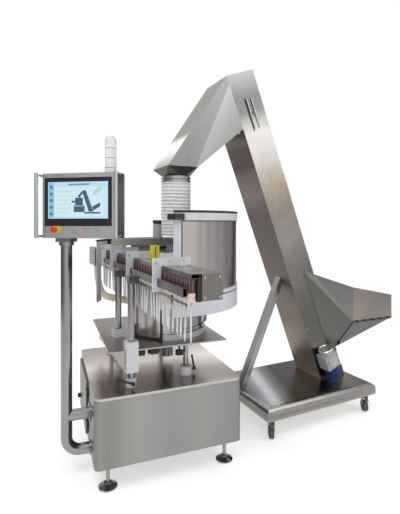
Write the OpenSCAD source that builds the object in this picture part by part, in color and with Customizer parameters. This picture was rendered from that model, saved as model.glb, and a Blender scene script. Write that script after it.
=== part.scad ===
// Parts feeder: a rotary sorting drum on a stainless cabinet, an outfeed track for capped droppers,
// an operator panel on a pole, and an inclined belt elevator on a wheeled cart.
// The origin is on the floor under the front left levelling foot, X runs along the front, Z is up.

/* [Cabinet] */
// Width of the cabinet
cabinet_w = 830; // [700:10:1000]
// Depth of the cabinet
cabinet_d = 855; // [800:10:1000]
// Height of the underside of the cabinet above the floor
cabinet_bottom = 135; // [110:5:180]
// Height of the cabinet top above the floor
cabinet_top_z = 500; // [480:5:520]
// Sheet thickness of the cabinet and the guards
sheet = 3; // [2:0.5:4]
// Radius of the cabinet's upright corners
corner_r = 30; // [8:1:40]
// Diameter of a levelling foot's pad
foot_d = 100; // [80:5:120]
// Inset of the feet from the cabinet's sides
foot_inset = 77; // [60:1:100]
// Width of the access door
door_w = 430; // [360:10:480]
// Height of the access door
door_h = 300; // [220:10:320]

/* [Operator panel] */
// Outside diameter of the pole
pole_d = 60.3; // [48:0.1:76]
// Distance of the pole's axis from the cabinet's side
pole_out = 125; // [110:5:180]
// Height of the top of the pole
pole_top = 1275; // [1150:5:1300]
// Width of the panel box
panel_w = 424; // [380:2:500]
// Height of the panel box
panel_h = 345; // [320:5:420]
// Depth of the panel box
panel_d = 105; // [80:5:140]
// Turn of the panel about the pole
panel_turn = -32.8; // [-45:0.1:0]
// Diameter of the signal tower
tower_d = 60; // [40:5:70]

/* [Platform] */
// Height of the platform's upper face
platform_z = 700; // [690:2:710]
// Thickness of the platform
platform_t = 8; // [6:1:12]
// Diameter of the track posts
track_post_d = 38; // [30:1:42]
// Diameter of the platform posts
platform_post_d = 30; // [20:1:40]

/* [Drum] */
// Outside radius of the lower casing
drum_r = 235; // [215:5:245]
// Outside radius of the guard
guard_r = 450; // [430:5:460]
// Height of the guard's floor
guard_z = 885; // [870:5:895]
// Height of the top of the guard door
guard_top = 1460; // [1430:5:1500]
// Height of the top of the rear guard
rear_top = 1280; // [1270:5:1290]
// Number of pockets in the star wheel
pockets = 36; // [32:2:40]
// Thickness of the star wheel
wheel_t = 50; // [30:5:50]

/* [Track] */
// Diameter of a dropper cap
cap_d = 41; // [36:1:44]
// Length of a dropper's dip tube
tube_len = 173; // [120:1:176]
// Turn of the track away from the cabinet's side
track_turn = 4.3; // [3:0.1:5]
// Length of the track in front of the drum's axis
track_near = 998; // [900:10:1050]
// Length of the track behind the drum's axis
track_far = 790; // [740:10:850]

/* [Elevator] */
// Turn of the cart against the cabinet
cart_turn = 5; // [3:0.5:7]
// Length of the cart's tray
tray_l = 970; // [940:10:1050]
// Width of the cart's tray
tray_w = 690; // [660:10:760]
// Height of the tray's upper face
tray_top = 205; // [195:5:215]
// Diameter of a caster wheel
wheel_d = 80; // [75:1:90]
// Lean of the elevator from upright
lean = 20.8; // [20:0.1:21.6]
// Depth of the elevator's casing
lift_d = 220; // [210:5:230]
// Width of the elevator's casing
lift_w = 285; // [270:5:300]
// Diameter of the feed hose
hose_d = 194; // [170:2:200]

/* [Hidden] */
$fn = 64;
// Small overlap for cuts, running clearance between bodies, and clearance of a fixed fit
cut = 1;
run = 0.4;
fit = 0.2;

// Everything is drawn from the cabinet's front left corner and moved to the front left foot.
module placed() translate([-foot_inset, -foot_inset, 0]) children();

// Flat shape with four rounded corners, its corner at the origin
module rounded(w, d, r) {
    translate([r, 0]) square([w - 2 * r, d]);
    translate([0, r]) square([w, d - 2 * r]);
    for (x = [r, w - r], y = [r, d - r]) translate([x, y]) circle(r);
}

// Bar between two heights
module upright(d, z0, z1) translate([0, 0, z0]) cylinder(d = d, h = z1 - z0);

// Ring sector of a drum: r0 to r1, z0 to z1, from angle a0 to a1
module sector(r0, r1, z0, z1, a0, a1)
    rotate(a0) rotate_extrude(angle = a1 - a0, $fn = 96) translate([r0, z0]) square([r1 - r0, z1 - z0]);

// Cabinet
seam = 2;
lid_t = 12;
shell_top = cabinet_top_z - lid_t - seam;
door_y = 330;
door_z = cabinet_bottom + 35;
door_t = 13;
door_gap = 0.5;
hinge_r = 5;
hinge_x = -door_gap - hinge_r - 3;
hinge_y = door_y - hinge_r - 4;
knuckle_h = 40;
knuckle_z = [door_z + 40, door_z + door_h - 40 - knuckle_h];
latch_y = door_y + door_w - 70;
latch_z = door_z + 80;
latch_d = 28;
stud_d = 12;

module cabinet_shell() color("silver") placed() difference() {
    union() {
        translate([0, 0, cabinet_bottom]) linear_extrude(shell_top - cabinet_bottom)
            rounded(cabinet_w, cabinet_d, corner_r);
        for (z = knuckle_z) {
            translate([hinge_x, hinge_y, z - 12]) cylinder(r = hinge_r - 1, h = knuckle_h + 12);
            translate([hinge_x, hinge_y - hinge_r, z - 12]) cube([cut - hinge_x, 2 * hinge_r, 11.6]);
        }
    }
    translate([sheet, sheet, cabinet_bottom + sheet]) linear_extrude(shell_top)
        rounded(cabinet_w - 2 * sheet, cabinet_d - 2 * sheet, corner_r - sheet);
    translate([-cut, door_y + 15, door_z + 15]) cube([sheet + 2 * cut, door_w - 30, door_h - 30]);
}

lid_rim = 12;
module cabinet_top() color("silver") placed() difference() {
    union() {
        translate([0, 0, cabinet_top_z - lid_t]) linear_extrude(lid_t)
            rounded(cabinet_w, cabinet_d, corner_r);
        translate([seam, seam, shell_top]) linear_extrude(seam + cut)
            rounded(cabinet_w - 2 * seam, cabinet_d - 2 * seam, corner_r - seam);
    }
    translate([lid_rim, lid_rim, shell_top - cut])
        cube([cabinet_w - 2 * lid_rim, cabinet_d - 2 * lid_rim, cabinet_top_z - sheet - shell_top + cut]);
}

spindle_d = 20;
pad_h = 28;
module levelling_feet() color("dimgray") placed()
    for (x = [foot_inset, cabinet_w - foot_inset], y = [foot_inset, cabinet_d - foot_inset])
        translate([x, y, 0]) {
            rotate_extrude() polygon([[0, 0], [foot_d / 2, 0], [foot_d / 2, 7], [spindle_d, pad_h - 6],
                [spindle_d, pad_h], [spindle_d / 2, pad_h], [spindle_d / 2, cabinet_bottom],
                [0, cabinet_bottom]]);
            difference() {
                upright(28, cabinet_bottom - 14, cabinet_bottom, $fn = 6);
                upright(spindle_d + 2 * fit, cabinet_bottom - 14 - cut, cabinet_bottom + cut);
            }
        }

module access_door() color("silver") placed() difference() {
    union() {
        translate([-door_gap - door_t, door_y, door_z]) cube([door_t, door_w, door_h]);
        for (z = knuckle_z) translate([hinge_x, hinge_y, z]) cylinder(r = hinge_r + 3, h = knuckle_h);
        for (z = knuckle_z) translate([hinge_x - hinge_r - 3, hinge_y, z]) cube([4, 20, knuckle_h]);
    }
    translate([-door_gap - door_t + sheet, door_y + sheet, door_z + sheet])
        cube([door_t, door_w - 2 * sheet, door_h - 2 * sheet]);
    for (z = knuckle_z) translate([hinge_x, hinge_y, z - cut])
        cylinder(r = hinge_r - 1 + run, h = knuckle_h + 2);
    translate([-door_gap - door_t - cut, latch_y, latch_z]) rotate([0, 90, 0])
        cylinder(d = stud_d + 2 * run, h = 20);
}

module door_latch() color("black") placed()
    translate([-door_gap - door_t, latch_y, latch_z]) rotate([0, -90, 0]) {
    translate([0, 0, -door_t]) cylinder(d = stud_d, h = door_t + cut);
    translate([0, 0, run]) cylinder(d = latch_d, h = 8);
    translate([-latch_d / 2, -4, 8]) cube([latch_d, 8, 12]);
}

// Control gear: units on a plate at the back of the cabinet
gear_y = cabinet_d - 120;
gear_in = 120;
gear_h = 300;
gear_t = 4;
gear_units = 4;
gear_unit = [100, 90, 130];
module control_gear() color("gray") placed() {
    w = cabinet_w - 2 * gear_in;
    translate([gear_in, gear_y, cabinet_bottom + sheet]) cube([w, gear_t, gear_h]);
    for (i = [0.5:gear_units])
        translate([gear_in + i * w / gear_units - gear_unit[0] / 2, gear_y - gear_unit[1],
            cabinet_bottom + gear_h / 2]) cube(gear_unit);
}

// Pole and operator panel
pole_y = 217.5;
pole_wall = 2.5;
pole_bore = pole_d - 2 * pole_wall;
bend_r = 76;
stub_low = cabinet_bottom + 17;
stub_high = stub_low + 193;
stub_flange_d = 100;
stub_flange_t = 6;
collar_d = 78;
collar_t = 18;
swivel_z = pole_top + collar_t;
swivel_t = 22;
swivel_w = 88;
panel_z = swivel_z + swivel_t;
panel_axis_x = 110;

// Solid core of the pole: upright, bend and two stubs, at one diameter
module pole_core(d, over) {
    translate([-pole_out, pole_y]) upright(d, stub_low + bend_r, pole_top + over);
    translate([bend_r - pole_out, pole_y, stub_low + bend_r]) rotate([-90, 0, 0]) rotate([0, 0, 90])
        rotate_extrude(angle = 90) translate([bend_r, 0]) circle(d = d);
    translate([bend_r - pole_out, pole_y, stub_low]) rotate([0, 90, 0])
        cylinder(d = d, h = pole_out - bend_r + over);
    translate([-pole_out, pole_y, stub_high]) rotate([0, 90, 0]) cylinder(d = d, h = pole_out + over);
}

module support_pole() color("silver") placed() difference() {
    union() {
        pole_core(pole_d, 0);
        for (z = [stub_low, stub_high]) translate([-stub_flange_t, pole_y, z]) rotate([0, 90, 0])
            cylinder(d = stub_flange_d - (z == stub_low ? 20 : 0), h = stub_flange_t);
        translate([-pole_out, pole_y]) upright(collar_d, pole_top, swivel_z);
    }
    intersection() {
        pole_core(pole_bore, collar_t + cut);
        translate([-pole_out - pole_d, pole_y - pole_d, 0])
            cube([pole_out + pole_d - stub_flange_t, 2 * pole_d, swivel_z + 2]);
    }
}

// Frame of the panel: corner of its face, X across, Y into its depth
module on_panel() placed() translate([-pole_out, pole_y, panel_z]) rotate(panel_turn)
    translate([-panel_axis_x, -panel_d / 2, 0]) children();

glass_w = 386;
glass_h = 257;
glass_t = 4;
glass_x = (panel_w - glass_w) / 2 - 7;
glass_z = panel_h - glass_h - 24;
button_z = 45;
button_d = 22;
button_out = 7;
estop_x = 88;
button_x = [172, 242.5, 313];
stem_d = 14;
stem_l = 30;
bezel_d = 29;
bezel_t = 3;
grip_d = 19;
grip_out = 38;
grip_side = 13;
grip_post_d = 12;
grip_z = [10, panel_h - 10];
grip_over = 10;
spigot_l = 40;
face_t = 8;

// Bar across the panel's face, along Y
module panel_pin(x, z, d, y0, y1) translate([x, y0, z]) rotate([-90, 0, 0]) cylinder(d = d, h = y1 - y0);

module panel_box() color("silver") on_panel() difference() {
    union() {
        cube([panel_w, panel_d, panel_h]);
        translate([panel_axis_x - swivel_w / 2, (panel_d - swivel_w + 15) / 2, run - swivel_t])
            cube([swivel_w, swivel_w - 15, swivel_t - run]);
        translate([panel_axis_x, panel_d / 2])
            upright(pole_bore - 2 * run, -swivel_t - spigot_l, run - swivel_t + cut);
        for (x = button_x) panel_pin(x, button_z, bezel_d, -bezel_t, cut);
        for (x = [-grip_side, panel_w + grip_side]) {
            translate([x, -grip_out]) upright(grip_d, grip_z[0] - grip_over, grip_z[1] + grip_over);
            for (z = grip_z) panel_pin(x, z, grip_post_d, -grip_out, 26);
            for (z = grip_z) translate([min(x, panel_w - cut), 20, z - 8]) cube([grip_side + cut, 16, 16]);
        }
    }
    translate([sheet, face_t, sheet])
        cube([panel_w - 2 * sheet, panel_d - face_t - sheet, panel_h - 2 * sheet]);
    translate([glass_x, -cut, glass_z]) cube([glass_w, glass_t + cut, glass_h]);
    for (x = concat(estop_x, button_x)) panel_pin(x, button_z, stem_d + 2 * run, -bezel_t - cut, stem_l + 8);
    for (x = button_x) panel_pin(x, button_z, button_d + 2 * run, -bezel_t - cut, cut);
}

module panel_glass() color("black") on_panel()
    translate([glass_x + fit, 0, glass_z + fit]) cube([glass_w - 2 * fit, glass_t, glass_h - 2 * fit]);

module signal_tower() color("white") on_panel() translate([panel_w - 56, panel_d / 2, panel_h])
    rotate_extrude() polygon([[0, 0], [tower_d / 2, 0], [tower_d / 2, 24], [tower_d / 2 - 2, 26],
        [tower_d / 2, 28], [tower_d / 2, 76], [tower_d / 2 - 2, 78], [tower_d / 2, 80],
        [tower_d / 2, 128], [tower_d / 2 - 2, 130],
        [tower_d / 2, 132], [tower_d / 2, 180], [tower_d / 2 - 10, 195], [0, 195]]);

ring_d = 40;
ring_l = 20;
mushroom_d = 34;
mushroom_out = ring_l + 6;
module estop_ring() color("gold") on_panel() difference() {
    panel_pin(estop_x, button_z, ring_d, -ring_l, 0);
    panel_pin(estop_x, button_z, stem_d + 2 * run, -ring_l - cut, cut);
}

module estop_button() color("red") on_panel() {
    panel_pin(estop_x, button_z, stem_d, -mushroom_out - 2, stem_l);
    translate([estop_x, -mushroom_out, button_z]) rotate([90, 0, 0]) rotate_extrude()
        polygon([[0, 0], [12, 0], [mushroom_d / 2, 6], [mushroom_d / 2, 14],
            [mushroom_d / 2 - 5, 18], [0, 19]]);
}

module push_button(x) on_panel() {
    panel_pin(x, button_z, stem_d, -bezel_t - cut, stem_l);
    panel_pin(x, button_z, button_d, -button_out, -bezel_t);
}
module button_white() color("white") push_button(button_x[0]);
module button_red() color("tomato") push_button(button_x[1]);
module button_clear() color("lightgray") push_button(button_x[2]);

// Drum and track frames
drum_x = 505;
drum_y = 430;
module on_drum() placed() translate([drum_x, drum_y, 0]) children();

cap_r = cap_d / 2;
pitch_r = 264.8;
pitch = 2 * pitch_r * sin(180 / pockets);
// Track frame: origin where the row of caps touches the wheel, X towards the drum, Y along the row
module on_track() on_drum() rotate(track_turn) translate([-pitch_r, 0, 0]) children();

// Platform, posts and clamps
plate_x = 85;
plate_y = 100;
plate_w = 695;
plate_d = 783;
plate_under = platform_z - platform_t;
post_s = -56;
post_t = [-296, -6];
clamp_w = 66;
clamp_z = [582, 747];
bar_w = 15;
bar_z = [600, plate_under];
bar_t = [-306, 340];
collar_h = 47;
foot_collar_d = 56;
round_collar_d = 72;
short_posts = [[545, 172], [560, 770], [205, 780]];
column_d = 78;
column_low = 537;
// Place, diameter and drop of each knob under the platform
knob_at = [[344, 150, 70, 12], [272, 140, 44, 12], [498, 150, 48, 40]];
knob_h = 26;
knob_stem = 10;
rail_bottom = 1095.5;
saddle_h = 30;

module platform_plate() color("silver") {
    placed() difference() {
        translate([plate_x, plate_y, plate_under]) cube([plate_w, plate_d, platform_t]);
        for (k = knob_at) translate([k[0], k[1]])
            upright(knob_stem + 2 * run, plate_under - cut, platform_z + cut);
        translate([foot_inset, foot_inset, 0]) on_track() for (t = post_t)
            translate([post_s - clamp_w / 2, t - clamp_w / 2, plate_under - cut])
                cube([clamp_w, clamp_w, platform_t + 2]);
    }
    on_track() translate([post_s - clamp_w / 2 - bar_w, bar_t[0], bar_z[0]])
        cube([bar_w, bar_t[1] - bar_t[0], bar_z[1] - bar_z[0]]);
}

module guide_posts() color("silver") {
    on_track() for (t = post_t) translate([post_s, t])
        upright(track_post_d, cabinet_top_z, rail_bottom - saddle_h);
    placed() for (p = short_posts) translate(p) upright(platform_post_d, cabinet_top_z, plate_under);
    on_drum() upright(column_d, column_low, plate_under);
}

// White clamp with a bore for its post
module clamp_ring(d, bore, z0, z1) difference() {
    upright(d, z0, z1);
    upright(bore + 2 * fit, z0 - cut, z1 + cut);
}

module post_clamps() color("gainsboro") {
    on_track() for (t = post_t) translate([post_s, t]) {
        difference() {
            translate([-clamp_w / 2, -clamp_w / 2, clamp_z[0]])
                cube([clamp_w, clamp_w, clamp_z[1] - clamp_z[0]]);
            upright(track_post_d + 2 * fit, clamp_z[0] - cut, clamp_z[1] + cut);
        }
        clamp_ring(foot_collar_d, track_post_d, cabinet_top_z, cabinet_top_z + collar_h);
    }
    placed() for (p = short_posts) translate(p)
        clamp_ring(round_collar_d, platform_post_d, cabinet_top_z, cabinet_top_z + collar_h);
}

lever_l = 72;
lever_z = cabinet_top_z + 26;
// Clamping lever: hub on +Z, arm along X
module lever() {
    cylinder(d = 12, h = 10);
    translate([0, 0, 10]) cylinder(d = 20, h = 14);
    translate([0, 0, 17]) rotate([0, 90, 0]) cylinder(d1 = 13, d2 = 10, h = lever_l);
    translate([lever_l, 0, 17]) sphere(d = 15);
}
module lever_left() color("black") on_track()
    translate([post_s, post_t[0] - foot_collar_d / 2 - run, lever_z])
    rotate([90, 0, 0]) rotate(155) lever();
module lever_right() color("black") placed()
    translate([short_posts[0][0] + round_collar_d / 2 + run, short_posts[0][1], lever_z])
        rotate([90, 0, 90]) rotate(60) lever();

module star_knob(k) placed() translate([k[0], k[1], plate_under - k[3] - knob_h]) {
    linear_extrude(knob_h) {
        circle(d = k[2] * 0.72);
        for (a = [0:60:300]) rotate(a) translate([k[2] * 0.36, 0]) circle(d = k[2] * 0.28);
    }
    cylinder(d = knob_stem, h = knob_h + k[3] + platform_t);
}
module knob_large() color("black") star_knob(knob_at[0]);
module knob_left() color("black") star_knob(knob_at[1]);
module knob_right() color("black") star_knob(knob_at[2]);

// Drum casing and its door
casing_top = 1050;
base_h = 35;
base_out = 12;
base_a = [-112, 40];
drum_door_a = [-108, -12];
drum_door_z = [platform_z + base_h + 3, guard_z - 5];
drum_door_t = 4;
frame_w = 24;
frame_t = 10;
frame_deg = frame_w / drum_r * 180 / PI;
drum_hinge_r = drum_r + 26;
drum_hinge_a = drum_door_a[1] + 5;
drum_pin_r = 5;
shaft_d = 40;

// Place of something at a radius and an angle of the drum
module at_angle(r, a) rotate(a) translate([r, 0, 0]) children();

module drum_casing() color("silver") on_drum() difference() {
    union() {
        upright(2 * drum_r, platform_z, casing_top, $fn = 128);
        at_angle(drum_hinge_r, drum_hinge_a) upright(2 * drum_pin_r, drum_door_z[0], drum_door_z[1]);
        for (z = [drum_door_z[0], drum_door_z[1] - 12]) rotate(drum_hinge_a)
            translate([drum_r - 4, -drum_pin_r, z])
                cube([drum_hinge_r - drum_r + 4, 2 * drum_pin_r, 12]);
    }
    upright(2 * (drum_r - sheet), platform_z - cut, casing_top - sheet, $fn = 128);
    upright(shaft_d + 2 * run, casing_top - 2 * sheet, casing_top + cut);
    sector(drum_r - 20, drum_r + 2, drum_door_z[0] + 15, drum_door_z[1] - 15,
        drum_door_a[0] + frame_deg, drum_door_a[1] - frame_deg);
    rotate(track_turn) translate([-pitch_r, 0, 0]) duct_entry()
        translate([duct_run[1] - 60, 0, 0]) rotate([0, 90, 0]) cylinder(d = duct_d + 2 * fit, h = 60);
}

module base_ring() color("gainsboro") on_drum()
    sector(drum_r + fit, drum_r + base_out, platform_z, platform_z + base_h, base_a[0], base_a[1]);

module drum_door() color("gainsboro") on_drum() {
    r0 = drum_r + run;
    a0 = drum_door_a[0];
    a1 = drum_door_a[1];
    difference() {
        sector(r0, r0 + frame_t, drum_door_z[0], drum_door_z[1], a0, a1);
        sector(r0 + drum_door_t, r0 + frame_t + cut, drum_door_z[0] + frame_w, drum_door_z[1] - frame_w,
            a0 + frame_deg, a1 - frame_deg);
    }
    for (z = [drum_door_z[0] + 14, drum_door_z[1] - 44]) difference() {
        union() {
            at_angle(drum_hinge_r, drum_hinge_a) upright(2 * drum_pin_r + 8, z, z + 30);
            sector(r0 + 1, drum_hinge_r - 4, z, z + 30, a1 - 2, drum_hinge_a);
        }
        at_angle(drum_hinge_r, drum_hinge_a) upright(2 * (drum_pin_r + run), z - cut, z + 31);
    }
}

// Guard round the star wheel
door_a = [-102, 17];
rear_a = [19, 165];
band_t = 6;
band_low = 98;
band_high = 50;
strip_deg = 43 / guard_r * 180 / PI;
guard_hinge_r = guard_r + 22;
guard_hinge_a = 20;
guard_pin_r = 9;
pan_in = drum_r + fit;
pan_out = guard_r - 5;
pan_a = [-96, 108];
flange_in = guard_r - 14;
notch_s = [-110, 146];
notch_top = 1245;

module guard_rear() color("silver") on_drum() {
    foot_z = guard_z + sheet;
    difference() {
        union() {
            rotate(rear_a[0]) rotate_extrude(angle = rear_a[1] - rear_a[0], $fn = 96)
                polygon([[flange_in, foot_z], [guard_r, foot_z], [guard_r, rear_top],
                    [guard_r - sheet, rear_top], [guard_r - sheet, foot_z + sheet],
                    [flange_in, foot_z + sheet]]);
            at_angle(guard_hinge_r, guard_hinge_a) upright(2 * guard_pin_r, guard_z, guard_top - 12);
            for (z = [guard_z + 10, wheel_z, rear_top - 24]) rotate(guard_hinge_a)
                translate([guard_r - 2, -5, z]) cube([guard_hinge_r - guard_r + 2, 10, 20]);
        }
        rotate(track_turn) translate([notch_s[0] - pitch_r, 0, guard_z - cut])
            cube([notch_s[1] - notch_s[0], 2 * guard_r, notch_top - guard_z + cut]);
    }
    sector(pan_in, pan_out, guard_z, foot_z, pan_a[0], pan_a[1]);
}

module guard_door_frame() color("gainsboro") on_drum() {
    r0 = guard_r + fit;
    r1 = guard_r + band_t;
    difference() {
        sector(r0, r1, guard_z, guard_top, door_a[0], door_a[1]);
        sector(r0 - cut, r1 + cut, guard_z + band_low, guard_top - band_high,
            door_a[0] + strip_deg, door_a[1] - 3);
    }
    for (z = [guard_z + 40, guard_top - 47]) difference() {
        union() {
            at_angle(guard_hinge_r, guard_hinge_a) upright(2 * guard_pin_r + 10, z, z + 34);
            sector(r0 + 1, guard_hinge_r - 8, z, z + 34, door_a[1] - 2, guard_hinge_a);
        }
        at_angle(guard_hinge_r, guard_hinge_a) upright(2 * (guard_pin_r + run), z - cut, z + 35);
    }
}

module guard_door_panel() color("silver") on_drum()
    sector(guard_r - sheet, guard_r, guard_z + sheet + run, guard_top - 4, door_a[0] + 0.4, door_a[1] - 0.4);

latch_z0 = guard_top - 48;
module guard_latch() color("black") on_drum() rotate(door_a[0]) translate([guard_r + band_t, -33, latch_z0])
    difference() {
        cube([26, 91, 34]);
        translate([6, -cut, 8]) cube([30, 40, 18]);
    }

// Star wheel, its shaft and drive; the wheel turns just inside the row of caps
wheel_z = 1120;
wheel_r = pitch_r - cap_r - run;
pocket_r = 14;
pocket_out = 4;
cone_in = 20;
cone_h = 30;
hub_d = 90;
thrust_d = 66;
thrust_t = 10;
drive_top = 905;
drive_flange = [170, 18];
drive_d = 140;
drive_neck = [90, 860];
drive_box = [90, 150, 100];
drive_box_up = 30;
module rotor_wheel() color("gainsboro") on_drum() rotate(180 + track_turn) difference() {
    union() {
        translate([0, 0, wheel_z]) linear_extrude(wheel_t) difference() {
            circle(wheel_r, $fn = 180);
            for (i = [0:pockets - 1]) rotate(i * 360 / pockets)
                translate([wheel_r + pocket_out, 0]) circle(pocket_r);
        }
        translate([0, 0, wheel_z + wheel_t]) cylinder(r1 = wheel_r - cone_in, r2 = hub_d / 2, h = cone_h);
        upright(hub_d, casing_top + thrust_t, wheel_z + cut);
    }
    upright(shaft_d + 2 * fit, casing_top, wheel_z + wheel_t + cone_h + cut);
}

module rotor_shaft() color("dimgray") on_drum() {
    upright(shaft_d, drive_top + run, wheel_z + wheel_t + cone_h + 4);
    difference() {
        upright(thrust_d, casing_top + cut, casing_top + thrust_t);
        upright(shaft_d - cut, casing_top, casing_top + thrust_t + cut);
    }
}

module drum_gearmotor() color("steelblue") on_drum() {
    upright(drive_flange[0], platform_z, platform_z + drive_flange[1]);
    upright(drive_d, platform_z + drive_flange[1] - cut, drive_neck[1]);
    upright(drive_neck[0], drive_neck[1] - cut, drive_top);
    translate([-drive_box[0] / 2, -drive_box[1], platform_z + drive_box_up]) cube(drive_box);
}

// Bridge over the wheel with the sorter's motor and brush
bridge_in = 94.8;
bridge_out = 68;
bridge_side = 140;
bridge_y = pitch_r - bridge_in;
bridge_x = [-pitch_r - bridge_out, guard_r - bridge_side];
bridge_z = [1245, 1290];
bridge_w = 60;
bridge_end = 20;
bridge_s = 30;
bridge_post_d = 30;
sorter_x = -17;
sorter_d = 63;
sorter_h = 96;
sorter_flange_d = 80;
sorter_cap = [66, 24];
brush_shaft_d = 16;
module bridge_beam() color("silver") {
    on_drum() {
        difference() {
            translate([bridge_x[0], bridge_y - bridge_w / 2, bridge_z[0]])
                cube([bridge_x[1] - bridge_x[0] + bridge_end, bridge_w, bridge_z[1] - bridge_z[0]]);
            translate([sorter_x, bridge_y])
                upright(brush_shaft_d + 2 * run, bridge_z[0] - cut, bridge_z[1] + cut);
        }
        translate([bridge_x[1], bridge_y]) upright(bridge_post_d, guard_z + sheet, bridge_z[0]);
    }
    on_track() translate([bridge_s, bracket_t[2] + bracket_w / 2])
        upright(bracket_w, bracket_top, bridge_z[0]);
}

module sorter_motor() color("gray") on_drum() translate([sorter_x, bridge_y, bridge_z[1]]) difference() {
    union() {
        upright(sorter_flange_d, 0, 8);
        upright(sorter_d, 7, sorter_h);
        upright(sorter_d - 13, sorter_h - cut, sorter_h + 5);
        upright(sorter_cap[0], sorter_h + 4, sorter_h + 4 + sorter_cap[1]);
    }
    upright(brush_shaft_d + 2 * run, -cut, 30);
}

brush_d = 120;
brush_z = [1204, 1236];
tuft_l = 12;
module sorter_brush() color("black") on_drum() translate([sorter_x, bridge_y]) {
    upright(brush_shaft_d, brush_z[0], bridge_z[1] + 28);
    upright(brush_d, brush_z[0] + tuft_l, brush_z[1]);
    for (a = [0:15:345]) rotate(a) translate([brush_d / 2 - 8, 0])
        upright(6, brush_z[0], brush_z[0] + tuft_l + cut);
}

// Track for the droppers
cap_top = 1176;
cap_h = 58;
skirt_h = 37;
tube_d = 8;
near_t = -track_near;
far_t = track_far;
box_s = [38, 130];
box_z = [1083, 1192];
box_gap = 222;
rail_w = 20;
rail_gap = 1.5;
rail_s = [-cap_r - rail_gap - rail_w, -cap_r - rail_gap];
rail_lift = 8;
rail_h = 37;
top_rail_s = [-15, 25];
top_rail_z = cap_top + run;
top_rail_h = 19.5;
bracket_t = [-684, -221, 179, 494];
bracket_w = 12;
bracket_s = [-62, 128];
bracket_low = 18;
bracket_top = 1233;
wall = 2;
end_box = [50, 220, 130];
end_wall = 4;
end_drop = 20;

// Square tube along the track
module track_tube(s, z0, h, t0, t1) difference() {
    translate([s[0], t0, z0]) cube([s[1] - s[0], t1 - t0, h]);
    translate([s[0] + wall, t0 - cut, z0 + wall])
        cube([s[1] - s[0] - 2 * wall, t1 - t0 + 2 * cut, h - 2 * wall]);
}

module conveyor_box() color("silver") on_track() {
    for (t = [[near_t, -box_gap], [box_gap, far_t]]) {
        track_tube(box_s, box_z[0], box_z[1] - box_z[0], t[0] + 6, t[1] - 6);
        for (e = [t[0], t[1] - 6]) translate([box_s[0], e, box_z[0]])
            cube([box_s[1] - box_s[0], 6, box_z[1] - box_z[0]]);
    }
    for (s = [box_s[0] + 12, box_s[1] - 12], z = [box_z[0] + 14, box_z[1] - 14])
        translate([s, near_t, z]) rotate([90, 0, 0]) cylinder(d = 10, h = 4);
    translate([rail_s[0] - end_box[0], far_t - end_box[1], rail_bottom - end_drop]) difference() {
        cube(end_box);
        translate([end_wall, -cut, end_wall])
            cube([end_box[0] - 2 * end_wall, end_box[1] - end_wall, end_box[2] - 2 * end_wall]);
    }
}

belt_s = [cap_r + 1, box_s[0]];
belt_z = [box_z[0] - 3, cap_top - 4];
belt_h = belt_z[1] - belt_z[0];
module track_belt() color("black") on_track()
    for (t = [[near_t + 4, -box_gap - 20], [box_gap + 20, far_t - 20]])
        translate([belt_s[0], t[0], belt_z[0]]) difference() {
        cube([belt_s[1] - belt_s[0], t[1] - t[0], belt_h]);
        for (n = [1:floor((t[1] - t[0]) / 60)]) translate([2.5, n * 60 - 30, -cut])
            cube([4, 44, belt_h + 2]);
    }

module track_rails() color("silver") on_track() {
    track_tube(rail_s, rail_bottom + rail_lift, rail_h, near_t + 10, far_t);
    track_tube(top_rail_s, top_rail_z, top_rail_h, near_t - 10, far_t);
    for (t = post_t) translate([post_s - 20, t - 25, rail_bottom - saddle_h])
        cube([rail_s[1] - post_s + 20, 50, saddle_h + rail_lift]);
}

module track_brackets() color("gainsboro") on_track() for (t = bracket_t) translate([0, t, 0]) {
    difference() {
        translate([bracket_s[0], 0, rail_bottom - bracket_low])
            cube([bracket_s[1] - bracket_s[0], bracket_w, bracket_top - rail_bottom + bracket_low]);
        translate([rail_s[1], -cut, 0]) cube([200, bracket_w + 2, top_rail_z + top_rail_h]);
        translate([rail_s[0], -cut, rail_bottom + rail_lift]) cube([rail_w + cut, bracket_w + 2, rail_h]);
        for (s = [20, 90]) translate([s, -cut, bracket_top - 18]) rotate([-90, 0, 0])
            cylinder(d = 7, h = 20);
    }
    if (abs(t) > box_gap) translate([box_s[0] + 30, 0, box_z[1]])
        cube([40, bracket_w, top_rail_z + top_rail_h - box_z[1]]);
}

module dropper() rotate_extrude($fn = 24) polygon([[0, cap_top - cap_h - skirt_h - tube_len],
    [tube_d / 2, cap_top - cap_h - skirt_h - tube_len], [tube_d / 2, cap_top - cap_h - skirt_h],
    [cap_r - 2, cap_top - cap_h - skirt_h], [cap_r - 2, cap_top - cap_h], [cap_r, cap_top - cap_h],
    [cap_r, cap_top - 3], [cap_r - 3, cap_top], [0, cap_top]]);

first_cap = near_t + cap_r + 3;
last_cap = floor((track_near + track_far - cap_r - 60) / pitch);
module dropper_caps() color("saddlebrown") on_track() for (i = [0:last_cap])
    translate([0, first_cap + i * pitch, 0]) dropper();

module sensor_block() color("yellow") on_track() translate([box_s[0] + 19, -321, box_z[1]]) difference() {
    cube([42, 42, 78]);
    translate([18, -cut, 6]) cube([6, 4, 66]);
}

// Return hose from the far end of the track into the casing, under the droppers
duct_d = 46;
duct_bend = 4 * duct_d;
duct_from = [-65, 613];
duct_top = rail_bottom - end_drop;
duct_drop = 13;
duct_heading = -84.3;
duct_turn = 20;
duct_run = [45, 243];

// Start of the hose's last straight, which runs along X from there
module duct_entry() translate([duct_from[0], duct_from[1], duct_top - duct_drop - duct_bend])
    rotate(duct_heading)
    translate([duct_bend + duct_run[0] + duct_bend * sin(duct_turn), duct_bend * (1 - cos(duct_turn)), 0])
    rotate(duct_turn) children();

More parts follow.
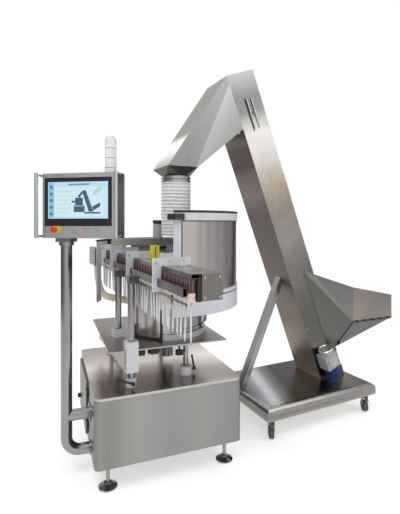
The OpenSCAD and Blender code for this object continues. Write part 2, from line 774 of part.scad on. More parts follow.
// Centre line of the hose: down, a quarter bend, level, a small bend and straight into the casing
function level_dir(a) = [cos(a), sin(a), 0];
ahead = level_dir(duct_heading);
aside = level_dir(duct_heading + 90);
bend_start = [duct_from[0], duct_from[1], duct_top - duct_drop];
turn_start = bend_start + (duct_bend + duct_run[0]) * ahead - [0, 0, duct_bend];
turn_end = turn_start + duct_bend * (sin(duct_turn) * ahead + (1 - cos(duct_turn)) * aside);
duct_line = concat([bend_start + [0, 0, duct_drop]],
    [for (a = [0:10:90]) bend_start + duct_bend * ((1 - cos(a)) * ahead - [0, 0, sin(a)])],
    [for (a = [0:10:duct_turn]) turn_start + duct_bend * (sin(a) * ahead + (1 - cos(a)) * aside)],
    [turn_end + duct_run[1] * level_dir(duct_heading + duct_turn)]);

// Tube of a given number of sides along a line of points
function unit(v) = v / norm(v);
function heading(p, i) = unit(p[min(i + 1, len(p) - 1)] - p[max(i - 1, 0)]);
function ring(c, n, r, sides) = let (u = unit(cross(n, aside)), v = cross(n, u))
    [for (k = [0:sides - 1]) c + r * (cos(k * 360 / sides) * u + sin(k * 360 / sides) * v)];
function side_face(at, k, next, sides) = [at + k, at + sides + k, at + sides + next, at + next];
module swept(p, r, sides) {
    pts = [for (i = [0:len(p) - 1]) each ring(p[i], heading(p, i), r, sides)];
    last = (len(p) - 1) * sides;
    polyhedron(pts, concat(
        [[for (k = [0:sides - 1]) k]],
        [for (i = [0:len(p) - 2], k = [0:sides - 1])
            side_face(i * sides, k, (k + 1) % sides, sides)],
        [[for (k = [sides - 1:-1:0]) last + k]]));
}

module return_hose() color("burlywood") on_track() swept(duct_line, duct_d / 2, 16);

// Elevator cart
cart_x = 1085;
cart_y = 130;
tray_h = 80;
tray_bottom = tray_top - tray_h;
tray_r = 38;
module on_cart() placed() translate([cart_x, cart_y, 0]) rotate(cart_turn) children();

// Cross-section of the tray with two rounded upper edges
module tray_profile(w, in) {
    translate([in, in]) square([w - 2 * in, tray_h - tray_r - in]);
    translate([tray_r, in]) square([w - 2 * tray_r, tray_h - 2 * in]);
    for (x = [tray_r, w - tray_r]) translate([x, tray_h - tray_r]) circle(tray_r - in);
}
module tray_form(in) intersection() {
    rotate([90, 0, 90]) linear_extrude(tray_l) tray_profile(tray_w, in);
    translate([0, tray_w, 0]) rotate([90, 0, 0]) linear_extrude(tray_w) tray_profile(tray_l, in);
}

lift_u = 653;
lift_v = 228;
lift_len = 2324;
// Frame of the elevator: X across its depth, Y across its width, Z along its lean
module on_lift() translate([lift_u, lift_v, tray_top]) rotate([0, -lean, 0]) children();
function belly(l) = [lift_u - sin(lean) * l, tray_top + cos(lean) * l];

strut_u = 28;
strut_at = 808;
strut_s = [40, 60];
strut_v = lift_v + lift_w / 2;
strut_lean = atan2(belly(strut_at)[0] - strut_u, belly(strut_at)[1] - tray_top);
strut_l = norm(belly(strut_at) - [strut_u, tray_top]);
caster_in = 62;
caster_at = [[caster_in, caster_in], [tray_l - caster_in, caster_in], [caster_in, tray_w - caster_in],
    [tray_l - caster_in, tray_w - caster_in]];
caster_plate = 6;

module cart_tray() color("silver") on_cart() {
    difference() {
        translate([0, 0, tray_bottom]) tray_form(0);
        translate([0, 0, tray_bottom]) tray_form(sheet);
    }
    for (c = caster_at) translate([c[0] - 38, c[1] - 38, tray_bottom - caster_plate])
        cube([76, 76, caster_plate]);
    difference() {
        translate([strut_u, strut_v - strut_s[1] / 2, tray_top]) rotate([0, strut_lean, 0])
            translate([-strut_s[0] / 2, 0, -60]) cube([strut_s[0], strut_s[1], strut_l + 160]);
        translate([-200, 0, tray_top - 200]) cube([1000, tray_w, 200]);
        on_lift() translate([0, -cut, -200]) cube([lift_d + 300, lift_w + 2, lift_len]);
    }
}

trail = 26;
wheel_w = 28;
axle_d = 10;
fork_top = tray_bottom - caster_plate - run;
caster_turn = [244, 244, 215, 165];
module caster(i) on_cart() translate(caster_at[i]) rotate(caster_turn[i]) children();

module caster_fork(i) caster(i) {
    upright(52, fork_top - 8, fork_top);
    translate([-20, -wheel_w / 2 - 6, fork_top - 18]) cube([trail + 40, wheel_w + 12, 11]);
    for (y = [-wheel_w / 2 - 6, wheel_w / 2 + 2]) difference() {
        union() {
            translate([-14, y, fork_top - 30]) cube([trail + 32, 4, 13]);
            translate([trail, y, wheel_d / 2]) rotate([-90, 0, 0]) cylinder(d = 24, h = 4);
            translate([trail - 12, y, wheel_d / 2]) cube([24, 4, fork_top - 28 - wheel_d / 2]);
        }
        translate([trail, y - cut, wheel_d / 2]) rotate([-90, 0, 0]) cylinder(d = axle_d - 2, h = 6);
    }
    translate([trail, -wheel_w / 2 - 8, wheel_d / 2]) rotate([-90, 0, 0])
        cylinder(d = axle_d, h = wheel_w + 16);
    translate([trail + 18, -12, fork_top - 16]) rotate([0, 25, 0]) cube([34, 24, 5]);
}
module caster_wheel(i) caster(i) translate([trail, 0, wheel_d / 2]) rotate([90, 0, 0])
    rotate_extrude() difference() {
        translate([axle_d / 2 + fit, -wheel_w / 2]) square([wheel_d / 2 - axle_d / 2 - fit, wheel_w]);
        for (s = [-1, 1]) translate([14, s * wheel_w / 2 - 3]) square([14, 6]);
    }
module caster_fork_1() color("gray") caster_fork(0);
module caster_fork_2() color("gray") caster_fork(1);
module caster_fork_3() color("gray") caster_fork(2);
module caster_fork_4() color("gray") caster_fork(3);
module caster_wheel_1() color("dimgray") caster_wheel(0);
module caster_wheel_2() color("dimgray") caster_wheel(1);
module caster_wheel_3() color("dimgray") caster_wheel(2);
module caster_wheel_4() color("dimgray") caster_wheel(3);

tail_at = 150;
head_at = 2040;
belt_r = 75;
spindle_r = 15;
chute_from = 1957;
inlet = [175, 800];

// Flat outline in the elevator's X and Z, given a thickness across its width
module across(y0, y1) translate([0, y1, 0]) rotate([90, 0, 0]) linear_extrude(y1 - y0) children();

module elevator_casing() color("silver") on_cart() difference() {
    on_lift() union() {
        translate([0, 0, -150]) cube([lift_d, lift_w, lift_len + 150]);
        for (y = [-6, lift_w - cut]) translate([lift_d / 2 - 26, y, head_at - 120])
            cube([52, 7, 230]);
    }
    on_lift() {
        translate([sheet, sheet, -200])
            cube([lift_d - 2 * sheet, lift_w - 2 * sheet, lift_len + 200 - sheet]);
        translate([-cut, sheet, chute_from])
            cube([sheet + 2, lift_w - 2 * sheet, lift_len - chute_from - sheet]);
        translate([lift_d - sheet - cut, sheet, inlet[0]])
            cube([sheet + 2, lift_w - 2 * sheet, inlet[1] - inlet[0]]);
        for (l = [tail_at, head_at]) translate([lift_d / 2, -20, l]) rotate([-90, 0, 0])
            cylinder(r = spindle_r + run, h = lift_w + 40);
        for (y = [-7, lift_w + 4], x = [-15, 7]) translate([lift_d / 2 + x, y, head_at + 25])
            cube([8, 3, 75]);
    }
    translate([0, -cut, tray_top - 400]) cube([1500, tray_w, 400]);
}

module belt_loop(r) {
    for (l = [tail_at, head_at]) translate([lift_d / 2, l]) circle(r);
    translate([lift_d / 2 - r, tail_at]) square([2 * r, head_at - tail_at]);
}
flight_h = 22;
flight_pitch = 135;
module lift_belt() color("white") on_cart() on_lift() {
    across(14, lift_w - 14) difference() {
        belt_loop(belt_r + 4);
        belt_loop(belt_r + run);
    }
    for (l = [tail_at + 20:flight_pitch:head_at - 20], s = [-1, 1])
        translate([lift_d / 2 + s * (belt_r + 3.5 + flight_h / 2) - flight_h / 2, 18, l])
            cube([flight_h, lift_w - 36, 4]);
}
mid = lift_w / 2;
web = 8;
module belt_drum(l, y0) on_cart() on_lift() translate([lift_d / 2, 0, l]) rotate([-90, 0, 0]) {
    rotate_extrude() polygon([[0, y0], [spindle_r, y0], [spindle_r, mid - web], [belt_r - web, mid - web],
        [belt_r - web, 12], [belt_r, 12], [belt_r, lift_w - 12], [belt_r - web, lift_w - 12],
        [belt_r - web, mid + web], [spindle_r, mid + web], [spindle_r, lift_w + 12], [0, lift_w + 12]]);
}
head_end = 12;
tail_end = 90;
module head_drum() color("gray") belt_drum(head_at, -head_end);
module tail_drum() color("gray") belt_drum(tail_at, -tail_end);

gearbox = [120, 96, 110];
gear_off = 8;
gear_flange_d = 90;
motor_d = 100;
motor_l = 98;
motor_box = [52, 60, 60];
cover_d = 106;
cover_h = 30;
gear_shift = -32;
module elevator_gearmotor() color("gray") on_cart() on_lift()
    translate([lift_d / 2, 0, tail_at]) difference() {
    union() {
        translate([gear_shift - gearbox[0] / 2, -gearbox[1] - gear_off, -gearbox[2] / 2]) cube(gearbox);
        rotate([90, 0, 0]) cylinder(d = gear_flange_d, h = gear_off + 2);
        translate([gear_shift, -gearbox[1] / 2 - gear_off]) {
            upright(cover_d, gearbox[2] / 2 - cut, gearbox[2] / 2 + cover_h);
            upright(motor_d, -gearbox[2] / 2 - motor_l, cut - gearbox[2] / 2);
            translate([28, -motor_box[1] / 2, -gearbox[2] / 2 - 80]) cube(motor_box);
        }
    }
    rotate([90, 0, 0]) translate([0, 0, -cut]) cylinder(r = spindle_r + run, h = tail_end + 3 + run);
}

// Chute at the head, its spout and the hose below it
chute_u = [-590, -385];
chute_z = 1755;
spout_u = -479;
spout_z = 1702;
collar_z = 1640;
collar_r = hose_d / 2 - 6;
module chute_side(in) polygon([belly(lift_len - in),
    [chute_u[0] + in * 1.2, chute_z], [chute_u[1] - in, chute_z],
    belly(chute_from + in)]);
module spout_form(in, over) hull() {
    translate([chute_u[0] + in, lift_v + in, chute_z])
        cube([chute_u[1] - chute_u[0] - 2 * in, lift_w - 2 * in, 0.5 + over]);
    translate([spout_u, lift_v + lift_w / 2, spout_z - over]) cylinder(r = collar_r - in, h = 0.5, $fn = 32);
}
module head_chute() color("silver") on_cart() {
    difference() {
        translate([0, lift_v + lift_w, 0]) rotate([90, 0, 0]) linear_extrude(lift_w) chute_side(0);
        translate([0, lift_v + lift_w - sheet, 0]) rotate([90, 0, 0]) linear_extrude(lift_w - 2 * sheet)
            polygon([belly(lift_len - sheet) + [60, 0], belly(lift_len - sheet) - [sheet, 2 * sheet],
                [chute_u[0] + sheet * 1.2, chute_z + sheet], [chute_u[0] + sheet * 1.2, chute_z - cut],
                [chute_u[1] - sheet, chute_z - cut], [chute_u[1] - sheet, chute_z + sheet],
                belly(chute_from + sheet), belly(chute_from + sheet) + [60, 0]]);
    }
    translate([0, 0, -0.5]) difference() {
        spout_form(0, 0);
        spout_form(sheet, 0.6);
    }
    translate([spout_u, lift_v + lift_w / 2]) difference() {
        upright(2 * collar_r, collar_z, spout_z - 0.5);
        upright(2 * (collar_r - sheet), collar_z - cut, spout_z + cut);
    }
}

hose_z = [1310, 1668];
hose_pitch = 22;
hose_wall = 3;
hose_in = collar_r + run;
hose_n = floor((hose_z[1] - hose_z[0]) / hose_pitch);
module feed_hose() color("white") on_cart()
    translate([spout_u, lift_v + lift_w / 2, hose_z[0]]) difference() {
    rotate_extrude() for (i = [0:hose_n - 1]) translate([hose_in, i * hose_pitch])
        polygon([[0, 0], [hose_wall, 0], [hose_d / 2 - hose_in, hose_pitch * 0.35],
            [hose_d / 2 - hose_in, hose_pitch * 0.65], [hose_wall, hose_pitch], [0, hose_pitch]]);
    translate([0, 0, -cut]) cylinder(r = hose_in, h = 2);
}

// Hopper that feeds the elevator's foot
hopper_wall = 2.5;
hopper_v = [100, 641];
flank_u = 850;
hopper_u = 1270;
rim = [[478, 1040], [flank_u, 910], [hopper_u, 822]];
foot_pts = [[714, 455], [790, 434]];
flank_z = 650;
end_z = 643;
rise = 1150;
module hopper_form(in) hull() {
    for (v = [lift_v - hopper_wall + in, lift_v + lift_w + hopper_wall - in])
        for (p = [[rim[0][0] - 40, rise], foot_pts[0] + [in, in], foot_pts[1] + [0, in]])
            translate([p[0], v, p[1]]) cube(0.1, center = true);
    for (v = [hopper_v[0] + in, hopper_v[1] - in], p = [[flank_u, flank_z + in], [flank_u, rise],
        [hopper_u - in, end_z + in], [hopper_u - in, rise]])
        translate([p[0], v, p[1]]) cube(0.1, center = true);
}
module hopper() color("silver") on_cart() difference() {
    hopper_form(0);
    hopper_form(hopper_wall);
    on_lift() translate([-300, 0, -100]) cube([lift_d + 300, lift_w, lift_len]);
    on_lift() translate([-300, -200, -100]) cube([132 + 300, lift_w + 400, lift_len]);
    translate([0, 2 * tray_w, 0]) rotate([90, 0, 0]) linear_extrude(4 * tray_w)
        polygon(concat([[0, rim[0][1]]], rim,
            [[hopper_u + 200, rim[2][1]], [hopper_u + 200, 2000], [0, 2000]]));
}

cabinet_shell();
cabinet_top();
levelling_feet();
access_door();
door_latch();
control_gear();
support_pole();
panel_box();
panel_glass();
signal_tower();
estop_ring();
estop_button();
button_white();
button_red();
button_clear();
platform_plate();
guide_posts();
post_clamps();
lever_left();
lever_right();
knob_large();
knob_left();
knob_right();
drum_casing();
base_ring();
drum_door();
guard_rear();
guard_door_frame();
guard_door_panel();
guard_latch();
rotor_wheel();
rotor_shaft();
drum_gearmotor();
bridge_beam();
sorter_motor();
sorter_brush();
conveyor_box();
track_belt();
track_rails();
track_brackets();
dropper_caps();
sensor_block();
return_hose();
cart_tray();
caster_fork_1();
caster_fork_2();
caster_fork_3();
caster_fork_4();
caster_wheel_1();
caster_wheel_2();
caster_wheel_3();
caster_wheel_4();
elevator_casing();
head_chute();
feed_hose();
hopper();
elevator_gearmotor();
lift_belt();
head_drum();
tail_drum();
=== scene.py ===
# %% [markdown]
# # Parts feeder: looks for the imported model
# The CAD model is loaded as a fixed frame, in metres. It already has every rigid shape, so this lesson
# gives each node a finish, and adds what is too fine for CAD: screws, rubber edges, ribs and the screen.

# %% Load the frame
import math
import bmesh
import bpy
from mathutils import Matrix, Vector


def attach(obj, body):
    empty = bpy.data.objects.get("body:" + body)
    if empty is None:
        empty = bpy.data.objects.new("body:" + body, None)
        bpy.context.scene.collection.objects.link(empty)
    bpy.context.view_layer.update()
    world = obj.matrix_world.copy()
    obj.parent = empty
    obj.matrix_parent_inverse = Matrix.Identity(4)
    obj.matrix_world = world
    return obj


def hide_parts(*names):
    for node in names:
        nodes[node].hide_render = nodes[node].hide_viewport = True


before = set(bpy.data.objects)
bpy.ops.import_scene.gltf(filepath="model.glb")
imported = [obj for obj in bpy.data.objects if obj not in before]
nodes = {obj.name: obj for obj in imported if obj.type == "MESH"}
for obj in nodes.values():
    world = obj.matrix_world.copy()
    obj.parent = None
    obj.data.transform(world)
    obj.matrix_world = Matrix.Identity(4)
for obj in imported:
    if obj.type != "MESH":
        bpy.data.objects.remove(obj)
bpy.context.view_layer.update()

# %% [markdown]
# ## Frames of the machine
# The drum, the track, the cart, the elevator and the panel are each turned a little. Every point could be
# written in metres in the model's frame, but then no size could be read off. So these functions take
# millimetres in one of those frames and give the point in the model's frame.

# %% Frames
MM = 0.001
FOOT_INSET = 77
DRUM = Vector((505, 430, 0))
TRACK_TURN = math.radians(4.3)
PITCH_R = 264.8
CART = Vector((1085, 130, 0))
CART_TURN = math.radians(5)
TRAY_LOW, TRAY_TOP = 125, 205
LIFT_FOOT, LIFT_NEAR, LIFT_DEPTH, LIFT_LENGTH = 653, 228, 285, 2324
LEAN = math.radians(20.8)
PANEL_AXIS = Vector((-125, 217.5, 1315))
PANEL_MIDDLE, PANEL_BACK = 110, 52.5
PANEL_TURN = math.radians(-32.8)
UP = Vector((0, 0, 1))


def turned(x, y, z, angle):
    return Matrix.Rotation(angle, 3, "Z") @ Vector((x, y, z))


def frame_of(origin, turn=0, x0=0, y0=0):
    """A function for points in a frame that is turned about its upright axis, with (x0, y0) at origin."""
    def place(x, y, z):
        p = origin + turned(x - x0, y - y0, z, turn)
        return Vector((p.x - FOOT_INSET, p.y - FOOT_INSET, p.z)) * MM
    return place


on_floor = frame_of(Vector())
on_drum = frame_of(DRUM)
on_track = frame_of(DRUM, TRACK_TURN, PITCH_R)
on_cart = frame_of(CART, CART_TURN)
on_panel = frame_of(PANEL_AXIS, PANEL_TURN, PANEL_MIDDLE, PANEL_BACK)


def on_ring(r, deg, z):
    a = math.radians(deg)
    return on_drum(r * math.cos(a), r * math.sin(a), z)


def on_lift(q, v, l):
    u = LIFT_FOOT + math.cos(LEAN) * q - math.sin(LEAN) * l
    return on_cart(u, LIFT_NEAR + v, TRAY_TOP + math.sin(LEAN) * q + math.cos(LEAN) * l)


def way(place, *step):
    """The direction of a step in one of the frames above."""
    return (place(*step) - place(0, 0, 0)).normalized()


print("drum axis", [round(v, 3) for v in on_drum(0, 0, 0)])

# %% [markdown]
# ## Camera
# The photograph has upright verticals. A tilted camera would make them lean together, so this one looks
# level and its lens is shifted down to frame the machine. Parts of about standard size, such as the pole,
# the screen and the feet, gave the distance.

# %% Camera
def new_object(name, data):
    obj = bpy.data.objects.new(name, data)
    bpy.context.scene.collection.objects.link(obj)
    return obj


camera_data = bpy.data.cameras.new("camera")
camera_data.lens = 27.66
camera_data.sensor_width = 36
camera_data.shift_y = -0.0678
camera = new_object("camera", camera_data)
camera.location = (-0.30025, -2.1266, 1.4)
camera.rotation_euler = (math.radians(90), 0, math.radians(-21.16))
bpy.context.scene.camera = camera
print("camera", [round(v, 2) for v in camera.location], "lens", camera_data.lens)

# %% [markdown]
# ## Nodes in Python
# Light, finishes and repeats are made of nodes. They could be wired in the editor, but a script can be read
# and run again. One function makes a node and links it, and the others make what is often needed.

# %% Helpers for nodes
def put(n, sockets):
    """Set a node's inputs: a node or one of its outputs is linked, anything else is a value."""
    for key, value in sockets.items():
        if isinstance(value, bpy.types.Node):
            value = value.outputs[0]
        if isinstance(value, bpy.types.NodeSocket):
            n.id_data.links.new(value, n.inputs[key])
        else:
            n.inputs[key].default_value = value


def node(tree, kind, sockets=None, **settings):
    n = tree.nodes.new(kind)
    for key, value in settings.items():
        setattr(n, key, value)
    put(n, sockets or {})
    return n


def between(tree, value, low, high, start=0.3, end=0.7):
    """A value that goes from low to high while the given one goes from start to end."""
    return node(tree, "ShaderNodeMapRange", {
        "Value": value, "From Min": start, "From Max": end, "To Min": low, "To Max": high})


def seen_as_white(tree):
    """1 for rays that show the background: from the camera, in reflections and through glass."""
    path = node(tree, "ShaderNodeLightPath").outputs
    seen = path["Is Camera Ray"]
    for kind in ("Is Glossy Ray", "Is Transmission Ray"):
        seen = node(tree, "ShaderNodeMath", {0: seen, 1: path[kind]}, operation="MAXIMUM")
    return seen


def shader(name):
    mat = bpy.data.materials.new(name)
    mat.use_nodes = True
    return mat, mat.node_tree, mat.node_tree.nodes["Principled BSDF"]


print("node helpers", 5)

# %% [markdown]
# ## World and floor
# The machine stands before white. A world that is white for every ray would wash out the shadows, so it is
# full white only where it is seen: by the camera, in reflections and through glass. The floor is a pale
# paint that glows a little in the same way, and fades into plain white far from the machine.

# %% World
WHITE = (1, 1, 1, 1)
WORLD_FILL = 0.55
world = bpy.data.worlds.new("studio")
world.use_nodes = True
bpy.context.scene.world = world
tree = world.node_tree
seen = between(tree, seen_as_white(tree), WORLD_FILL, 1, 0, 1)
put(tree.nodes["Background"], {"Color": WHITE, "Strength": seen})
print("world", len(tree.nodes), "nodes")

# %% Floor
FLOOR_HALF, FLOOR_GLOW = 30, 0.46
FLOOR_MIDDLE, FLOOR_FADE = (0.9, 0.3, 0), (1.6, 3.4)


def staged(name, verts, faces, mat):
    """An object of the studio, which isn't part of the machine."""
    mesh = bpy.data.meshes.new(name)
    mesh.from_pydata(verts, [], faces)
    mesh.materials.append(mat)
    obj = new_object(name, mesh)
    return obj


floor_paint, tree, bsdf = shader("floor_paint")
glow = between(tree, seen_as_white(tree), 0, FLOOR_GLOW, 0, 1)
put(bsdf, {"Base Color": (0.93, 0.93, 0.93, 1), "Roughness": 0.7, "Emission Color": WHITE,
           "Emission Strength": glow})
here = node(tree, "ShaderNodeTexCoord").outputs["Object"]
away = node(tree, "ShaderNodeVectorMath", {0: here, 1: FLOOR_MIDDLE}, operation="DISTANCE")
fade = between(tree, away.outputs["Value"], 0, 1, *FLOOR_FADE)
fade.interpolation_type = "SMOOTHSTEP"
far = node(tree, "ShaderNodeEmission")
blend = node(tree, "ShaderNodeMixShader", {"Fac": fade, 1: bsdf, 2: far})
put(tree.nodes["Material Output"], {"Surface": blend})
corners = [(x * FLOOR_HALF, y * FLOOR_HALF, 0) for x, y in ((-1, -1), (1, -1), (1, 1), (-1, 1))]
staged("floor", corners, [(0, 1, 2, 3)], floor_paint)
print("floor", 2 * FLOOR_HALF, "m")

# %% [markdown]
# ## Flats and lamps
# Steel shows what stands round it, and in a white room it would look like plaster. A studio puts grey flats
# beside the machine. Here they are curved walls that only reflections see, so they cost no light, and a grey
# that changes along each wall gives the sheet metal its soft bands. Three broad lamps give soft shadows.

# %% Flats and lamps
FLAT_MIDDLE = Vector((0.6, 0.4, 0))


def flat(name, stops, low, high, distance=4.6, step=4):
    """A curved flat; stops are (azimuth in degrees, grey) from one end to the other."""
    verts, greys = [], []
    for azimuth in range(stops[0][0], stops[-1][0] + 1, step):
        for (a0, g0), (a1, g1) in zip(stops, stops[1:]):
            if a0 <= azimuth <= a1:
                grey = g0 + (g1 - g0) * (azimuth - a0) / (a1 - a0)
        a = math.radians(azimuth)
        for z in (low, high):
            verts.append(FLAT_MIDDLE + Vector((distance * math.cos(a), distance * math.sin(a), z)))
            greys.append(grey)
    mat, tree, bsdf = shader(name + "_cloth")
    shade = node(tree, "ShaderNodeAttribute", attribute_name="grey").outputs["Fac"]
    put(bsdf, {"Base Color": (0, 0, 0, 1), "Roughness": 1, "Specular IOR Level": 0,
               "Emission Color": WHITE, "Emission Strength": shade})
    faces = [(k, k + 2, k + 3, k + 1) for k in range(0, len(verts) - 2, 2)]
    obj = staged(name, verts, faces, mat)
    obj.data.attributes.new("grey", "FLOAT", "POINT").data.foreach_set("value", greys)
    obj.visible_camera = obj.visible_diffuse = obj.visible_shadow = False


flat("flat_right", [
    (294, 0.95), (302, 0.62), (308, 0.92), (316, 0.5), (324, 0.72), (334, 0.46), (344, 0.6), (354, 0.32),
    (366, 0.36), (386, 0.2), (420, 0.45)], 0, 3.6, step=2)
flat("flat_left", [(132, 0.4), (152, 0.14), (180, 0.24), (212, 0.42), (236, 0.85)], 0, 3.6)
flat("flat_back", [(64, 0.7), (92, 0.3), (120, 0.7)], 0.2, 2.2, 4.9)
for name, power, size, place, aim in (
    ("key", 60, 2.4, (-1.4, -1.9, 4.8), (0.5, 0.4, 0.9)),
    ("fill", 20, 2.6, (3.4, -2.2, 3.6), (0.8, 0.4, 0.9)),
    ("back", 30, 2.0, (3.4, 3.4, 4.2), (0.7, 0.4, 1.0)),
):
    lamp = bpy.data.lights.new(name, "AREA")
    lamp.energy = power
    lamp.size = size
    obj = new_object(name, lamp)
    obj.location = place
    obj.rotation_euler = (Vector(aim) - Vector(place)).to_track_quat("-Z", "Y").to_euler()
bpy.context.scene.view_settings.view_transform = "Standard"
print("lamps", len(bpy.data.lights))

# %% [markdown]
# ## How the finishes are made
# A picture of steel would be quick, but it would repeat and show its seams. Each finish is made from noise
# on Object coordinates instead, so it runs over a whole node. Brushed sheet has fine streaks along the way
# it was ground and faint smudges: a noise stretched along one axis gives the streaks, and moves the colour,
# the roughness and a little bump. Paint has orange peel, plastic a fine grain, and rubber is duller.

# %% Noise and colour
SMUDGES, PAINT_SPOTS, PLASTIC_SPOTS = 3.5, 9, 30


def noise(tree, scale, detail=3, turn=(0, 0, 0)):
    """Noise on Object coordinates; scale is one number, or three for a stretched pattern."""
    here = node(tree, "ShaderNodeTexCoord").outputs["Object"]
    spread = (scale,) * 3 if isinstance(scale, (int, float)) else scale
    mapping = node(tree, "ShaderNodeMapping", {"Vector": here, "Scale": spread, "Rotation": turn})
    return node(tree, "ShaderNodeTexNoise", {"Vector": mapping, "Scale": 1, "Detail": detail})


def mixed(tree, factor, a, b):
    mix = node(tree, "ShaderNodeMix", {"Factor": factor, "A": (*a, 1), "B": (*b, 1)}, data_type="RGBA")
    return mix.outputs["Result"]


def varied(tree, pattern, color, low, high, start=0.3, end=0.7):
    """A colour that goes from low times itself to high times itself as the pattern rises."""
    dark, light = (tuple(min(1, c * by) for c in color) for by in (low, high))
    return mixed(tree, between(tree, pattern, 0, 1, start, end), dark, light)


def bumped(tree, height, strength, distance=0.0004):
    return node(tree, "ShaderNodeBump", {"Height": height, "Strength": strength, "Distance": distance})


print("spots across a metre", SMUDGES, PAINT_SPOTS, PLASTIC_SPOTS)

# %% Steel, paint and plastic
def brushed(name, color, rough, streaks, turn=(0, 0, 0), spread=0.07, vary=0.12):
    mat, tree, bsdf = shader(name)
    lines = noise(tree, streaks, 4, turn)
    both = node(tree, "ShaderNodeMath", {0: lines, 1: noise(tree, SMUDGES)}, operation="ADD")
    put(bsdf, {"Metallic": 1, "Base Color": varied(tree, both, color, 1 - vary, 1 + vary, 0.7, 1.3),
               "Roughness": between(tree, both, rough - spread, rough + spread, 0.7, 1.3),
               "Normal": bumped(tree, lines, 0.03)})
    return mat


def painted(name, color, rough, peel=180):
    mat, tree, bsdf = shader(name)
    grain = noise(tree, peel, 2)
    put(bsdf, {"Base Color": varied(tree, noise(tree, PAINT_SPOTS), color, 0.94, 1.04),
               "Roughness": between(tree, grain, rough - 0.06, rough + 0.06),
               "Normal": bumped(tree, grain, 0.12)})
    return mat


def moulded(name, color, rough, grain=520):
    mat, tree, bsdf = shader(name)
    fine = noise(tree, grain, 2)
    put(bsdf, {"Base Color": varied(tree, noise(tree, PLASTIC_SPOTS), color, 0.9, 1.1),
               "Roughness": between(tree, fine, rough - 0.08, rough + 0.08),
               "Normal": bumped(tree, fine, 0.1, 0.0002)})
    return mat


print("makes of finish", 3)

# %% [markdown]
# A long sheet goes from dark to bright and back, because each part of it meets the light in another way. A
# lamp for every sheet would spoil the others, so a colour ramp along a line on the sheet gives that look. It
# is tied to Object coordinates, so it stays on the sheet when a door or the whole machine is turned.

# %% Painted light and shade along a sheet
STREAK_GAIN = 2.6


def painted_light_ramp(mat, low, high, *stops):
    """Paint light and shade onto a brushed finish from low to high; a stop is (share of the way, red, green,
    blue).
    """
    tree = mat.node_tree
    bsdf = tree.nodes["Principled BSDF"]
    base = bsdf.inputs["Base Color"].links[0].from_socket
    axis = (high - low) / (high - low).length_squared
    here = node(tree, "ShaderNodeTexCoord").outputs["Object"]
    along = node(tree, "ShaderNodeVectorMath", {0: here, 1: axis}, operation="DOT_PRODUCT")
    share = node(tree, "ShaderNodeMath", {0: along.outputs["Value"], 1: low.dot(axis)}, operation="SUBTRACT")
    ramp = node(tree, "ShaderNodeValToRGB", {"Fac": share})
    for k, (at, *color) in enumerate(stops):
        stop = ramp.color_ramp.elements[k] if k < 2 else ramp.color_ramp.elements.new(at)
        stop.position = at
        stop.color = (*color, 1)
    streaks = node(tree, "ShaderNodeVectorMath", {0: base, "Scale": STREAK_GAIN}, operation="SCALE")
    shading = {"Factor": 1, "A": streaks, "B": ramp}
    blend = node(tree, "ShaderNodeMix", shading, data_type="RGBA", blend_type="MULTIPLY")
    put(bsdf, {"Base Color": blend.outputs["Result"]})
    return mat


print("a tint brightens its streaks by", STREAK_GAIN)

# %% [markdown]
# ## Sheet steel
# The cabinet, the drum, the elevator and the cart are brushed stainless sheet. One steel for all would look
# dead: each sheet was ground along its own length and meets the light in its own way. So the streaks of each
# finish follow that sheet, and light and shade are painted along the long sheets from end to end.

# %% Steel of the cabinet, the panel and the drum
ALONG_X, ALONG_Y, ALONG_Z, ALL_WAYS = (6, 300, 300), (300, 6, 300), (300, 300, 6), (60, 60, 60)
CABINET_WIDTH, CABINET_DEPTH = 830, 700
corner = on_floor(0, 0, 0)
# Painted shade and reflection: the cabinet's front is darker at its edges and softly banded across its
# width.
front_steel = painted_light_ramp(
    brushed("cabinet_steel", (0.4, 0.4, 0.39), 0.36, ALONG_X, vary=0.05),
    corner, on_floor(CABINET_WIDTH, 0, 0),
    (0, 0.2, 0.2, 0.19), (0.03, 0.26, 0.26, 0.25), (0.08, 0.235, 0.237, 0.222), (0.25, 0.3, 0.3, 0.296),
    (0.48, 0.262, 0.265, 0.265), (0.72, 0.285, 0.285, 0.282), (0.95, 0.245, 0.245, 0.245),
    (1, 0.21, 0.21, 0.21))
# Painted shade and highlight: the top is dark near its front edge and bright towards its back.
top_steel = painted_light_ramp(
    brushed("cabinet_top_steel", (0.4, 0.395, 0.39), 0.24, ALONG_Y, spread=0.03, vary=0.03),
    corner, on_floor(0, CABINET_DEPTH, 0),
    (0, 0.44, 0.42, 0.4), (0.08, 0.31, 0.28, 0.26), (0.3, 0.35, 0.32, 0.295), (0.45, 0.6, 0.56, 0.525),
    (0.65, 0.9, 0.86, 0.82), (0.85, 0.74, 0.7, 0.67), (1, 0.6, 0.57, 0.55))
# Painted shade: the cabinet's left side and its door get a darker copy of the cabinet's steel, for the shade
# there.
shade_steel = brushed("cabinet_side_steel", (0.13, 0.135, 0.122), 0.36, ALONG_Y, vary=0.05)
tube_steel = brushed("tube_steel", (0.3, 0.295, 0.3), 0.18, ALONG_Z, vary=0.05)
foot_steel = brushed("foot_steel", (0.2, 0.2, 0.21), 0.14, ALL_WAYS, spread=0.04, vary=0.05)
turned_steel = brushed("turned_steel", (0.46, 0.46, 0.46), 0.25, ALL_WAYS)
face_steel = brushed("panel_face_steel", (0.56, 0.555, 0.565), 0.4, ALONG_X, (0, 0, -PANEL_TURN))
side_steel = brushed("panel_side_steel", (0.26, 0.242, 0.23), 0.36, ALONG_Z)
plate_steel = brushed("plate_steel", (0.39, 0.365, 0.345), 0.36, ALONG_X, vary=0.05)
drum_steel = brushed("drum_steel", (0.46, 0.425, 0.42), 0.2, ALONG_Z, spread=0.04, vary=0.04)
